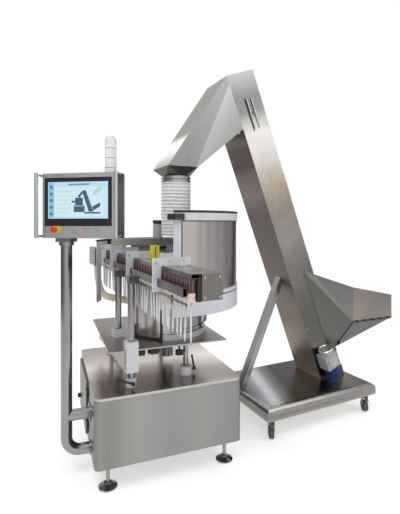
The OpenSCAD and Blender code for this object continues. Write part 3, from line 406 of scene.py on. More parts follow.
# Painted shade: the drum's door gets a darker copy of the drum's steel, for the shade under the guard.
door_steel = brushed("drum_door_steel", (0.25, 0.235, 0.228), 0.24, ALONG_Z, vary=0.04)
track_way = (0, 0, -TRACK_TURN)
track_steel = brushed("track_steel", (0.42, 0.405, 0.395), 0.26, ALONG_Y, track_way, vary=0.05)
# Painted shade: the sides and undersides of the rails get a darker copy of the track's steel.
shaded_rail_steel = brushed("shaded_rail_steel", (0.14, 0.13, 0.124), 0.3, ALONG_Y, track_way, vary=0.04)
end_steel = brushed("end_plate_steel", (0.2, 0.185, 0.17), 0.36, ALONG_Z)
print("steel finishes of the cabinet's group", 14)

# %% [markdown]
# The elevator leans, so its streaks lean with it. The ramps of painted light and shade in this group run
# along the casing, across the chute, up the tray's side and over its top, and the hopper's flank is darker
# below its fold.

# %% Steel of the cart and the elevator
FLANK_SPAN = 0.3
lift_way = (0, LEAN, -CART_TURN)
lift_ends = on_lift(0, 0, 0), on_lift(0, 0, LIFT_LENGTH)
# Painted reflections: bands of light and dark along the elevator's casing, from its foot to its head.
lift_steel = painted_light_ramp(
    brushed("elevator_steel", (0.4, 0.385, 0.365), 0.3, ALONG_Z, lift_way), *lift_ends,
    (0, 0.11, 0.11, 0.106), (0.21, 0.13, 0.13, 0.126), (0.31, 0.2, 0.19, 0.18), (0.4, 0.3, 0.285, 0.275),
    (0.47, 0.38, 0.365, 0.36), (0.56, 0.37, 0.35, 0.335), (0.645, 0.54, 0.47, 0.385),
    (0.73, 0.66, 0.655, 0.65), (0.82, 0.6, 0.61, 0.62), (0.885, 0.22, 0.222, 0.23),
    (0.93, 0.2, 0.202, 0.212), (1, 0.36, 0.365, 0.385))
# Painted shade: the elevator's underside is dark for most of its length, lighter near its foot.
shaded_belly_steel = painted_light_ramp(
    brushed("shaded_belly_steel", (0.4, 0.395, 0.39), 0.36, ALONG_Z, lift_way, vary=0.05), *lift_ends,
    (0, 0.42, 0.36, 0.29), (0.1, 0.3, 0.26, 0.205), (0.2, 0.17, 0.15, 0.12), (0.36, 0.13, 0.117, 0.1),
    (0.47, 0.12, 0.11, 0.104), (0.58, 0.12, 0.103, 0.099), (0.64, 0.22, 0.19, 0.182),
    (0.7, 0.19, 0.165, 0.158), (0.73, 0.105, 0.09, 0.085), (0.79, 0.125, 0.108, 0.1),
    (0.805, 0.18, 0.156, 0.14), (0.86, 0.13, 0.115, 0.104))
# Painted light and shade: bands across the chute's side, with a light line at its fold.
chute_steel = painted_light_ramp(
    brushed("chute_steel", (0.41, 0.41, 0.405), 0.38, ALONG_Z, (0, -LEAN, 0)),
    on_cart(-520, LIFT_NEAR, 2048), on_cart(36, LIFT_NEAR, 1808),
    (0, 0.29, 0.29, 0.29), (0.37, 0.3, 0.3, 0.305), (0.385, 0.42, 0.42, 0.42), (0.56, 0.33, 0.33, 0.33),
    (0.7, 0.29, 0.29, 0.29), (0.85, 0.36, 0.36, 0.355), (1, 0.42, 0.42, 0.42))
# Painted highlight: a near-white band across the chute's top slope, darker beyond it.
slope_steel = painted_light_ramp(
    brushed("chute_slope_steel", (0.4, 0.4, 0.39), 0.38, ALONG_Z),
    on_cart(-590, LIFT_NEAR, 1755), on_cart(-172, LIFT_NEAR, 2378),
    (0, 0.42, 0.42, 0.4), (0.16, 0.9, 0.9, 0.9), (0.27, 0.95, 0.95, 0.95), (0.36, 0.27, 0.265, 0.245),
    (0.7, 0.24, 0.235, 0.215), (1, 0.27, 0.265, 0.25))
# Painted shade: the spout under the chute gets a darker copy of its steel.
spout_steel = brushed("spout_steel", (0.2, 0.19, 0.18), 0.4, ALONG_Z)
# Painted highlight: a bright band along the upper part of the tray's rounded front rim.
tray_steel = painted_light_ramp(
    brushed("tray_steel", (0.4, 0.395, 0.39), 0.24, ALONG_X, vary=0.05),
    on_cart(0, 0, TRAY_LOW), on_cart(0, 0, TRAY_TOP),
    (0, 0.3, 0.29, 0.27), (0.35, 0.21, 0.2, 0.19), (0.6, 0.25, 0.24, 0.23), (0.78, 0.52, 0.51, 0.49),
    (0.92, 0.34, 0.33, 0.32), (1, 0.28, 0.275, 0.27))
# Painted reflection: a bright bluish streak across the tray's top, with dark beside it.
tray_top_steel = painted_light_ramp(
    brushed("tray_top_steel", (0.4, 0.395, 0.39), 0.26, ALONG_X, spread=0.03, vary=0.03),
    on_cart(0, 690, TRAY_TOP), on_cart(1080, 357, TRAY_TOP),
    (0, 0.22, 0.215, 0.21), (0.15, 0.24, 0.232, 0.23), (0.2, 0.44, 0.45, 0.49), (0.24, 0.92, 0.94, 1),
    (0.27, 0.92, 0.94, 1), (0.32, 0.42, 0.41, 0.42), (0.4, 0.14, 0.13, 0.126), (0.58, 0.17, 0.16, 0.155),
    (0.75, 0.44, 0.42, 0.405), (0.85, 0.6, 0.59, 0.57), (1, 0.36, 0.34, 0.33))
hopper_steel = brushed("hopper_steel", (0.33, 0.295, 0.265), 0.36, ALONG_X)
# Painted shade: the hopper's faces that look down get a dark copy of its steel.
shaded_flap_steel = brushed("shaded_flap_steel", (0.115, 0.122, 0.122), 0.36, ALONG_X)
fold_low = on_cart(850, 100, 650)
fold = (fold_low - on_cart(478, LIFT_NEAR, 1040)).normalized()
off_fold = on_cart(850, 100, 910) - fold_low
off_fold = (off_fold - fold * off_fold.dot(fold)).normalized() * FLANK_SPAN
# Painted shade: the hopper's flank is darker on the lower side of its fold.
flank_steel = painted_light_ramp(
    brushed("hopper_flank_steel", (0.4, 0.4, 0.39), 0.36, ALONG_X),
    fold_low - off_fold, fold_low + off_fold,
    (0, 0.15, 0.145, 0.135), (0.3, 0.12, 0.12, 0.113), (0.49, 0.11, 0.112, 0.105), (0.51, 0.2, 0.198, 0.2),
    (1, 0.18, 0.18, 0.185))
print("steel finishes of the cart's group", 10)

# %% [markdown]
# ## Paint, plastic and rubber
# The guard's frame and the brackets have a white powder coat, the gearmotors are painted, and knobs, latches
# and hoses are moulded. Each could be one flat colour, but a fine grain makes the highlight soft at its rim,
# which is how the eye tells paint from plastic.

# %% Paint, plastic and rubber
white_coat = painted("white_coat", (0.7, 0.71, 0.755), 0.45)
grey_paint = painted("grey_paint", (0.4, 0.42, 0.43), 0.4)
caster_grey = painted("caster_grey", (0.16, 0.165, 0.175), 0.4)
yellow_paint = painted("yellow_paint", (0.78, 0.66, 0.03), 0.45)
blue_paint = painted("blue_paint", (0.022, 0.04, 0.15), 0.35)
black_plastic = moulded("black_plastic", (0.025, 0.025, 0.028), 0.45)
black_rubber = moulded("black_rubber", (0.03, 0.03, 0.03), 0.7, 300)
tyre_rubber = moulded("tyre_rubber", (0.1, 0.1, 0.105), 0.6, 240)
wheel_plastic = moulded("star_wheel_plastic", (0.75, 0.75, 0.73), 0.4)
red_plastic = moulded("red_plastic", (0.7, 0.03, 0.02), 0.3)
faded_red = moulded("faded_red", (0.62, 0.27, 0.26), 0.35)
lens_grey = moulded("lens_grey", (0.36, 0.36, 0.365), 0.3)
pale_plastic = moulded("pale_plastic", (0.82, 0.82, 0.81), 0.35)
belt_white = moulded("belt_white", (0.78, 0.78, 0.76), 0.6, 200)
beige_hose = moulded("beige_hose", (0.66, 0.57, 0.42), 0.45, 200)
hose_white = moulded("hose_white", (0.86, 0.85, 0.83), 0.4, 160)
screen_glass = moulded("screen_glass", (0.015, 0.015, 0.018), 0.12, 900)
print("paints", 5, "plastics and rubbers", 12)

# %% [markdown]
# ## Which node wears what
# A node's main finish is looked up here, by the finish, so that pieces of one make stand side by side.

# %% Dress the nodes
WORN_BY = (
    (front_steel, "cabinet_shell access_door"),
    (top_steel, "cabinet_top"),
    (tube_steel, "levelling_feet support_pole guide_posts"),
    (face_steel, "panel_box"),
    (plate_steel, "platform_plate bridge_beam"),
    (drum_steel, "drum_casing guard_rear guard_door_panel"),
    # The drum's door wears the darker steel of painted shade.
    (door_steel, "drum_door"),
    (track_steel, "conveyor_box track_rails"),
    (tray_steel, "cart_tray"),
    (lift_steel, "elevator_casing"),
    (chute_steel, "head_chute"),
    (hopper_steel, "hopper"),
    (turned_steel, "rotor_shaft head_drum tail_drum"),
    (white_coat, "post_clamps base_ring guard_door_frame track_brackets"),
    (grey_paint, "control_gear drum_gearmotor sorter_motor elevator_gearmotor"),
    (caster_grey, "caster_fork_1 caster_fork_2 caster_fork_3 caster_fork_4"),
    (yellow_paint, "estop_ring sensor_block"),
    (black_plastic, "door_latch guard_latch lever_left lever_right knob_large knob_left knob_right"),
    (black_plastic, "sorter_brush"),
    (black_rubber, "track_belt"),
    (tyre_rubber, "caster_wheel_1 caster_wheel_2 caster_wheel_3 caster_wheel_4"),
    (wheel_plastic, "rotor_wheel"),
    (red_plastic, "estop_button"),
    (faded_red, "button_red"),
    (lens_grey, "button_white button_clear"),
    (pale_plastic, "signal_tower"),
    (screen_glass, "panel_glass"),
    (hose_white, "feed_hose"),
    (beige_hose, "return_hose"),
    (belt_white, "lift_belt"),
)
dressed = 0
for finish, names in WORN_BY:
    for name in names.split():
        mesh = nodes[name].data
        mesh.materials.clear()
        mesh.materials.append(finish)
        dressed += 1
print("dressed nodes", dressed)

# %% [markdown]
# Some nodes carry more than one finish: a foot has a polished pad, a motor a black cap, and faces that look
# down get painted shade, a darker steel. Cutting such a node in two would break the link to its CAD solid,
# so single faces get the second finish. They are chosen by where they lie in the machine's own frames, or by
# where they look.

# %% Tests for faces
X, Y, Z = range(3)
STEPS = ((1, 0, 0), (0, 1, 0), (0, 0, 1))


def paint_where(name, mat, *tests):
    """Give another finish to the faces of a node whose middle and normal pass all the tests."""
    mesh = nodes[name].data
    if mat.name not in mesh.materials:
        mesh.materials.append(mat)
    index = mesh.materials.find(mat.name)
    for face in mesh.polygons:
        if all(test(face.center, face.normal) for test in tests):
            face.material_index = index


def within(place, axis, low=-math.inf, high=math.inf):
    """For faces between two places on one axis of a frame, in millimetres."""
    origin = place(0, 0, 0)
    step = place(*STEPS[axis]) - origin
    return lambda middle, normal: low < (middle - origin).dot(step) / MM ** 2 < high


def round_drum(low, high):
    """For faces between two angles round the drum, in degrees."""
    axis = on_drum(0, 0, 0)
    return lambda middle, normal: low < math.degrees(math.atan2(*(middle - axis).yx)) < high


def looks(direction, least=0.9):
    """For faces that look along a direction, or nearly so."""
    return lambda middle, normal: normal.dot(direction) > least


def looks_aside(middle, normal):
    return abs(normal.y) > 0.5


def looks_not_up(middle, normal):
    return normal.z < 0.9


print("face tests use axes", X, Y, Z)

# %% [markdown]
# Each line of the table names a node, a finish and its tests. Faces could be numbered, but numbers change
# with every new pack. A later line can go over an earlier one, as on the feet.

# %% Second finishes
TOWER_RINGS, TOWER_RING = (1684, 1736, 1788), 4
NEAR_BORE = within(on_track, X, -40.2, -23.8), within(on_track, Z, 1105.3, 1138.7)
TOP_BORE = within(on_track, X, -13.2, 23.2), within(on_track, Z, 1178.1, 1194)
left = way(on_floor, -1, 0, 0)
SECOND = (
    # Painted shade on the faces of the cabinet and its door that look to the left.
    ("cabinet_shell", shade_steel, looks(left, 0.97)),
    ("access_door", shade_steel, looks(left, 0.97)),
    ("levelling_feet", foot_steel, within(on_floor, Z, high=27)),
    ("levelling_feet", turned_steel, within(on_floor, Z, high=7.5)),
    ("panel_box", side_steel, within(on_panel, Y, 1, 106)),
    *(("signal_tower", grey_paint, within(on_floor, Z, low, low + TOWER_RING)) for low in TOWER_RINGS),
    ("drum_door", white_coat, round_drum(-180, -102)),
    ("guard_rear", white_coat, round_drum(140, 180)),
    ("sorter_motor", black_plastic, within(on_floor, Z, 1388)),
    ("conveyor_box", end_steel, within(on_track, Y, high=-997)),
    ("conveyor_box", turned_steel, within(on_track, Y, high=-998.5)),
    # Painted shade on the rails' faces that don't look up.
    ("track_rails", shaded_rail_steel, looks_not_up),
    # Painted shade: the insides of the rails' open tube ends are black.
    ("track_rails", black_plastic, *NEAR_BORE),
    ("track_rails", black_plastic, *TOP_BORE),
    ("sensor_block", black_plastic, within(on_track, X, 74, 82), within(on_track, Y, -320.9, -316)),
    # Painted shade: the elevator's and the chute's faces that look down, and the head drum's near end, get
    # the dark belly steel.
    ("elevator_casing", shaded_belly_steel, looks(way(on_lift, -1, 0, 0))),
    ("elevator_gearmotor", blue_paint, within(on_lift, Z, high=94)),
    ("elevator_gearmotor", black_plastic, within(on_lift, Y, -8.5)),
    ("head_drum", shaded_belly_steel, within(on_lift, Y, high=1)),
    ("head_chute", shaded_belly_steel, looks(-UP, 0.5)),
    # Painted highlight on the chute's top slope, painted shade on its spout.
    ("head_chute", slope_steel, looks(UP, 0.2), within(on_floor, Z, 1756)),
    ("head_chute", spout_steel, within(on_floor, Z, 1700, 1754.8)),
    # Painted reflection on the tray's top.
    ("cart_tray", tray_top_steel, looks(UP), within(on_floor, Z, high=210)),
    # Painted shade on the hopper's flank and on its faces that look down.
    ("hopper", flank_steel, within(on_cart, X, high=849), looks_aside),
    ("hopper", shaded_flap_steel, looks(-UP, 0.3)),
)
for name, finish, *tests in SECOND:
    paint_where(name, finish, *tests)
print("second finishes", len(SECOND))

# %% [markdown]
# ## Repeats by Geometry Nodes
# Droppers, hose rings, clips and screws repeat. Copies could be made in a Python loop, but a tree keeps the
# shape apart from its count and places, and its inputs have names. Each tree ends by making its copies real
# and giving them their finish, and the result is made a plain mesh, because an export drops live copies.

# %% Tree that repeats a shape along a line
SWAY_SEED = 7


def new_tree(name, **inputs):
    tree = bpy.data.node_groups.new(name, "GeometryNodeTree")
    tree.interface.new_socket("Geometry", in_out="INPUT", socket_type="NodeSocketGeometry")
    tree.interface.new_socket("Geometry", in_out="OUTPUT", socket_type="NodeSocketGeometry")
    for label, kind in (inputs | {"Finish": "Material"}).items():
        tree.interface.new_socket(label, in_out="INPUT", socket_type="NodeSocket" + kind)
    return tree, node(tree, "NodeGroupInput").outputs


def close_tree(tree, given, copies):
    real = node(tree, "GeometryNodeRealizeInstances", {"Geometry": copies})
    dressed = {"Geometry": real, "Material": given["Finish"]}
    node(tree, "NodeGroupOutput", {0: node(tree, "GeometryNodeSetMaterial", dressed)})


LINE, given = new_tree("repeat_along_line", Count="Int", Step="Vector", Sway="Vector")
points = node(LINE, "GeometryNodeMeshLine", {"Count": given["Count"], "Offset": given["Step"]})
back = node(LINE, "ShaderNodeVectorMath", {0: given["Sway"], "Scale": -1}, operation="SCALE")
tilt = node(LINE, "FunctionNodeRandomValue", {
    "Min": back, "Max": given["Sway"], "Seed": SWAY_SEED}, data_type="FLOAT_VECTOR")
copies = node(LINE, "GeometryNodeInstanceOnPoints", {
    "Points": points, "Instance": given["Geometry"], "Rotation": tilt})
close_tree(LINE, given, copies)
print("line tree", len(LINE.nodes), "nodes")

# %% [markdown]
# A socket screw is a flat cylinder with a hexagon cut into its top. The tree cuts one head and puts it on
# every given point, turned so that it faces the way that the point's own attribute says.

# %% Tree that puts screw heads on points
HEADS, given = new_tree("socket_screws", Radius="Float", Height="Float")
half = node(HEADS, "ShaderNodeMath", {0: given["Radius"], 1: 0.5}, operation="MULTIPLY")
height = node(HEADS, "ShaderNodeCombineXYZ", {"Z": given["Height"]})
half_up = node(HEADS, "ShaderNodeVectorMath", {0: height, "Scale": 0.5}, operation="SCALE")


def head_cylinder(sides, radius):
    sockets = {"Vertices": sides, "Radius": radius, "Depth": given["Height"]}
    return node(HEADS, "GeometryNodeMeshCylinder", sockets)


def lifted(shape):
    return node(HEADS, "GeometryNodeTransform", {"Geometry": shape, "Translation": half_up})


solid = head_cylinder(16, given["Radius"])
hexagon = lifted(head_cylinder(6, half))
head = node(HEADS, "GeometryNodeMeshBoolean", {"Mesh 1": solid, "Mesh 2": hexagon}, operation="DIFFERENCE")
facing = node(HEADS, "GeometryNodeInputNamedAttribute", {"Name": "facing"}, data_type="FLOAT_VECTOR")
turn = node(HEADS, "FunctionNodeAlignRotationToVector", {"Vector": facing.outputs["Attribute"]}, axis="Z")
copies = node(HEADS, "GeometryNodeInstanceOnPoints", {
    "Points": given["Geometry"], "Instance": lifted(head), "Rotation": turn})
close_tree(HEADS, given, copies)
print("screw tree", len(HEADS.nodes), "nodes")

# %% [markdown]
# ## Shapes for the fine pieces
# Nearly all trim is one of two kinds: a profile that is spun round an axis, or rings of points that are
# joined in turn, which gives tubes, strips and thin plates. Primitives and modifiers could make some of
# them, but two functions make all, closed and with their faces outwards. Every piece rides on one body.

# %% Closed shapes
MERGE = 1e-6


def circle(sides):
    return [(math.cos(k * math.tau / sides), math.sin(k * math.tau / sides)) for k in range(sides)]


def closed(name, verts, faces):
    """A mesh whose meeting corners are merged and whose faces point outwards."""
    mesh = bpy.data.meshes.new(name)
    mesh.from_pydata([tuple(v) for v in verts], [], faces)
    made = bmesh.new()
    made.from_mesh(mesh)
    bmesh.ops.remove_doubles(made, verts=made.verts, dist=MERGE)
    bmesh.ops.recalc_face_normals(made, faces=made.faces)
    made.to_mesh(mesh)
    made.free()
    return mesh


def swept(rings):
    """Corners and faces of a body through rings of points, with a face on each end."""
    n = len(rings[0])
    verts = [p for ring in rings for p in ring]
    faces = []
    for i in range(0, len(verts) - n, n):
        faces += [(i + k, i + (k + 1) % n, i + n + (k + 1) % n, i + n + k) for k in range(n)]
    return verts, faces + [tuple(range(n - 1, -1, -1)), tuple(range(len(verts) - n, len(verts)))]


def spun(name, profile, sides=24):
    """A turned shape about Z from (radius, height) points in millimetres; a radius of 0 is a pole."""
    verts, rings, faces = [], [], []
    for r, z in profile:
        ring = [(r * MM * x, r * MM * y, z * MM) for x, y in circle(sides)] if r else [(0, 0, z * MM)]
        rings.append(range(len(verts), len(verts) + len(ring)))
        verts += ring
    for a, b in zip(rings, rings[1:]):
        for k in range(sides):
            n = (k + 1) % sides
            corners = (a[k % len(a)], a[n % len(a)], b[n % len(b)], b[k % len(b)])
            faces.append(tuple(dict.fromkeys(corners)))
    return closed(name, verts, faces)


def smooth(mesh):
    mesh.polygons.foreach_set("use_smooth", [True] * len(mesh.polygons))


print("corners merge within", MERGE, "m")

# %% [markdown]
# A shape made round the origin is moved into place by a matrix, because a piece that keeps a scale or a turn
# of its own is easily upset later.

# %% Placing and repeating
def frame_at(origin, x_axis, z_axis):
    """The matrix that puts a shape at origin, with its Z along z_axis and its X near x_axis."""
    z = z_axis.normalized()
    x = (x_axis - z * x_axis.dot(z)).normalized()
    return Matrix.Translation(origin) @ Matrix((x, z.cross(x), z)).transposed().to_4x4()


def seat(obj, body, place=None):
    if place is not None:
        obj.data.transform(place)
    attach(obj, body)
    return obj


def piece(name, mesh, finish, body, place=None):
    mesh.materials.append(finish)
    return seat(new_object(name, mesh), body, place)


def repeated(name, mesh, tree, **values):
    """An object with the plain mesh that a tree makes of a shape or of points."""
    obj = new_object(name, mesh)
    modifier = obj.modifiers.new("repeat", "NODES")
    modifier.node_group = tree
    for socket in tree.interface.items_tree:
        if socket.name in values:
            modifier[socket.identifier] = values[socket.name]
    obj.update_tag()
    graph = bpy.context.evaluated_depsgraph_get()
    made = bpy.data.meshes.new_from_object(obj.evaluated_get(graph))
    obj.modifiers.clear()
    obj.data = made
    return obj


print("trees to repeat with", LINE.name, HEADS.name)

# %% [markdown]
# ## Droppers in the track
# Each dropper is a dark glossy cap with fine ribs, a cream skirt and a milky tube. The CAD model holds them
# as one plain row, so one of each is spun here and repeated. The ribs are too fine to model on every cap:
# an attribute marks every third corner, and the finish is lightened there as a painted highlight, the light
# that the ribs would catch. The parts hang loosely, so each tube leans a little its own way, by a random
# turn with a fixed seed.

# %% Droppers
POCKETS = 36
PITCH = 2 * PITCH_R * math.sin(math.pi / POCKETS)
FIRST_CAP, CAPS = -974.5, 37
CAP_TOP, CAP_LOW, SKIRT_LOW, TUBE_LOW = 1176, 1118, 1081, 908
CAP_DARK, CAP_RIB_HIGHLIGHT, RIB_EVERY = (0.018, 0.007, 0.009), (0.24, 0.095, 0.125), 3
TUBE_SWAY = 0.055
dark_cap = moulded("dropper_cap", CAP_DARK, 0.12, 700)
tree = dark_cap.node_tree
# Painted highlight: the marked corners of each cap are lightened as if its ribs caught the light.
rib_highlight = node(tree, "ShaderNodeAttribute", attribute_name="rib_highlight").outputs["Fac"]
cap_with_highlights = mixed(tree, rib_highlight, CAP_DARK, CAP_RIB_HIGHLIGHT)
put(tree.nodes["Principled BSDF"], {"Base Color": cap_with_highlights, "Coat Weight": 0.25})
cream_skirt = moulded("dropper_skirt", (0.83, 0.71, 0.58), 0.24)
milky_tube = moulded("dropper_tube", (0.8, 0.81, 0.83), 0.25)


def dropper_row(name, profile, finish, top, sides, sway=0.0):
    mesh = spun(name, [(r, z - top) for r, z in profile], sides)
    smooth(mesh)
    turns = [math.atan2(v.co.y, v.co.x) / math.tau * sides for v in mesh.vertices]
    marks = mesh.attributes.new("rib_highlight", "FLOAT", "POINT")
    marks.data.foreach_set("value", [float(round(turn) % RIB_EVERY == 0) for turn in turns])
    obj = repeated(name, mesh, LINE, Count=CAPS, Step=(0, PITCH * MM, 0), Sway=(sway, sway, 0),
                   Finish=finish)
    place = frame_at(on_track(0, FIRST_CAP, top), turned(1, 0, 0, TRACK_TURN), UP)
    return seat(obj, "frame", place)


caps = dropper_row("dropper_cap_row", [
    (0, CAP_LOW), (19.6, CAP_LOW), (20.4, CAP_LOW + 2), (19.6, CAP_LOW + 8), (19.6, CAP_TOP - 12),
    (20.4, CAP_TOP - 8), (20.4, CAP_TOP - 3), (18, CAP_TOP - 0.2), (0, CAP_TOP - 0.2)],
    dark_cap, CAP_TOP, 24)
dropper_row("dropper_skirt_row", [
    (0, SKIRT_LOW), (17, SKIRT_LOW), (18.4, SKIRT_LOW + 2), (18.4, SKIRT_LOW + 16), (16.8, SKIRT_LOW + 17),
    (16.8, SKIRT_LOW + 20), (18.4, SKIRT_LOW + 21), (18.4, CAP_LOW - 0.1), (0, CAP_LOW - 0.1)],
    cream_skirt, CAP_LOW, 20)
dropper_row("dropper_tube_row", [
    (0, TUBE_LOW + 4), (2.2, TUBE_LOW + 4), (3.9, TUBE_LOW + 24), (3.9, SKIRT_LOW - 0.1),
    (0, SKIRT_LOW - 0.1)],
    milky_tube, SKIRT_LOW, 12, TUBE_SWAY)
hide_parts("dropper_caps")
print("droppers", CAPS)

# %% [markdown]
# ## Hoses
# The feed hose is a white bellows over a wire spring, which shows as thin grey rings. A helix would be
# truer, but at this size the eye sees rings, and rings are closed. They and the clamp bands are repeated
# along the hose's axis.

# %% Rings and clamps of the feed hose
FEED_U, FEED_V, RINGS, RING_STEP, BANDS, BAND_STEP = -479, 370.5, 16, 22, 2, 20
RING_LOW, BAND_LOW = 1321, 1668.5
wire_grey = brushed("wire_grey", (0.5, 0.5, 0.5), 0.4, (40, 40, 40))


def hose_rings(name, r0, r1, half, count, step, low, finish):
    """Flat rings round the feed hose, one above the other from the height low."""
    profile = [(r0, -half), (r1, -half), (r1, half), (r0, half), (r0, -half)]
    obj = repeated(name, spun(name, profile, 64), LINE, Count=count, Step=(0, 0, step * MM), Finish=finish)
    seat(obj, "frame", Matrix.Translation(on_cart(FEED_U, FEED_V, low)))


hose_rings("hose_wire_rings", 95.5, 98.2, 1.4, RINGS, RING_STEP, RING_LOW, wire_grey)
hose_rings("hose_clamp_bands", 91.2, 98.6, 5, BANDS, BAND_STEP, BAND_LOW, turned_steel)
print("hose rings", RINGS, "bands", BANDS)

# %% [markdown]
# The return hose is stiff and ribbed, and both its ends go into the machine, so it keeps one fixed curve. A
# simulated rope would sag too far. Its line is drawn from two bends and two straights instead.

# %% Line of the return hose
HOSE_BEND, HOSE_TOP, HOSE_DROP, HOSE_RUN, HOSE_HEADING, HOSE_TURN = 184, 1075.5, 13, (45, 243), -84.3, 20
HOSE_S, HOSE_T, HOSE_STEP = -65, 613, 3.0
HOSE_D, HOSE_R, RIB_DEPTH = 0.046, 22.9, 1.6


def level(deg):
    return Vector((math.cos(math.radians(deg)), math.sin(math.radians(deg)), 0))


def shares(length):
    """Even shares of a stretch, each about one step long."""
    count = round(length / HOSE_STEP)
    return [k / count for k in range(count + 1)]


def hose_line():
    ahead, aside, turn = level(HOSE_HEADING), level(HOSE_HEADING + 90), math.radians(HOSE_TURN)
    bend = Vector((HOSE_S, HOSE_T, HOSE_TOP - HOSE_DROP))
    line = [bend + UP * HOSE_DROP * (1 - k / 3) for k in range(3)]
    for share in shares(HOSE_BEND * math.pi / 2):
        a = math.pi / 2 * share
        line.append(bend + (ahead * (1 - math.cos(a)) - UP * math.sin(a)) * HOSE_BEND)
    low = line[-1]
    line += [low + ahead * HOSE_RUN[0] * share for share in shares(HOSE_RUN[0])[1:-1]]
    bend += ahead * (HOSE_BEND + HOSE_RUN[0]) - UP * HOSE_BEND
    for share in shares(HOSE_BEND * turn):
        a = turn * share
        line.append(bend + (ahead * math.sin(a) + aside * (1 - math.cos(a))) * HOSE_BEND)
    last, out = line[-1], level(HOSE_HEADING + HOSE_TURN)
    line += [last + out * HOSE_RUN[1] * share for share in shares(HOSE_RUN[1])[1:]]
    return [on_track(*p) for p in line], turned(*aside, TRACK_TURN)


line, side = hose_line()

# %% Tube of the return hose
def tube_rings(line, side, radii, sides=24):
    rings = []
    for i, p in enumerate(line):
        along = (line[min(i + 1, len(line) - 1)] - line[max(i - 1, 0)]).normalized()
        u = along.cross(side).normalized()
        v = along.cross(u)
        rings.append([p + (u * x + v * y) * radii[i] for x, y in circle(sides)])
    return rings


radii = [(HOSE_R - (RIB_DEPTH if i % 3 == 1 else 0)) * MM for i in range(len(line))]
mesh = closed("return_hose_tube", *swept(tube_rings(line, side, radii)))
smooth(mesh)
return_hose = piece("return_hose_tube", mesh, beige_hose, "frame")
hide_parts("return_hose")
print("rings along the hose", len(line))

# %% [markdown]
# ## Rubber edges
# The sheet edges of the guard carry a black push-on rubber edging, and the drum's foot and its door have
# seals. A bevelled curve could follow the arc, but its ends would stay open. A closed strip of rings with
# four corners is simple, and a small bevel rounds it.

# %% Edging and seals
def arc_strip(name, radii, heights, angles, finish=black_rubber, body="frame",
              step=1.5):
    (r0, r1), (z0, z1), (a0, a1) = radii, heights, angles
    count = max(2, round((a1 - a0) / step))
    section = (r0, z0), (r1, z0), (r1, z1), (r0, z1)
    turns = [a0 + (a1 - a0) * i / count for i in range(count + 1)]
    rings = [[on_ring(r, a, z) for r, z in section] for a in turns]
    obj = piece(name, closed(name, *swept(rings)), finish, body)
    bevel = obj.modifiers.new("round", "BEVEL")
    bevel.width = min(r1 - r0, z1 - z0) * 0.3 * MM
    bevel.segments = 2
    bevel.limit_method = "ANGLE"


SEAL_R, SEAL_SPAN, SEAL_LEFT = (450.05, 453), (-96.3, 13.8), (-96.3, -95.6)
arc_strip("guard_door_top_edging", (444, 459), (1452, 1466), (-102, 17), body="guard_door")
arc_strip("guard_rear_top_edging", (443, 454), (1272, 1286), (22.5, 164.5))
arc_strip("guard_door_window_seal_low", SEAL_R, (983.2, 989), SEAL_SPAN, body="guard_door")
arc_strip("guard_door_window_seal_high", SEAL_R, (1404, 1409.8), SEAL_SPAN, body="guard_door")
arc_strip("guard_door_window_seal_left", SEAL_R, (989, 1404), SEAL_LEFT, body="guard_door", step=0.35)
arc_strip("guard_door_corner", (450.05, 455.6), (989, 1012), (-60, 13.6),
          white_coat, "guard_door")
arc_strip("drum_side_seal", (235.05, 245), (700.4, 880), (-116, -112.3))
arc_strip("drum_foot_seal", (235.05, 241), (700.4, 713), (-172, -116.2))
arc_strip("drum_toggle", (246, 264), (700.4, 718), (-118, -113), black_plastic)
arc_strip("base_ring_seal", (236, 247.6), (735.2, 737.7), (-106, 39))
print("edgings and seals", 10)

# %% [markdown]
# ## Screen
# The screen shows a plain control page: a column of round keys, a title bar without words, a few readings
# drawn as bars and a plain diagram of a machine. A picture on the glass would be one way, but thin plates
# stay sharp at any size, so the page is built of them, in layers, one piece for each colour.

# %% Screen page
SCREEN_X, SCREEN_Z, SCREEN_W, SCREEN_H = 33, 104, 344, 194
PLATE_GAP, PLATE_T = 0.1, 0.12


def lit(name, color):
    """A colour of the page; the glass is dark, so nearly all of it is its own light."""
    mat, tree, bsdf = shader(name)
    put(bsdf, {"Base Color": varied(tree, noise(tree, 40), color, 0.05, 0.08), "Roughness": 0.25,
               "Emission Color": (*color, 1), "Emission Strength": 1})
    return mat


def plates(name, outlines, finish, layer):
    """Thin plates on the panel's glass, from outlines in the screen's own millimetres."""
    verts, faces = [], []
    depths = [-PLATE_GAP - PLATE_T * level for level in (layer - 1, layer)]
    for outline in outlines:
        rings = [[on_panel(SCREEN_X + x, y, SCREEN_Z + z) for x, z in outline] for y in depths]
        corners, sides = swept(rings)
        faces += [tuple(len(verts) + k for k in side) for side in sides]
        verts += corners
    piece(name, closed(name, verts, faces), finish, "panel")


def box_at(x, z, w, h):
    return [(x, z), (x + w, z), (x + w, z + h), (x, z + h)]


def disc_at(x, z, r, sides=24):
    return [(x + r * across, z + r * up) for across, up in circle(sides)]


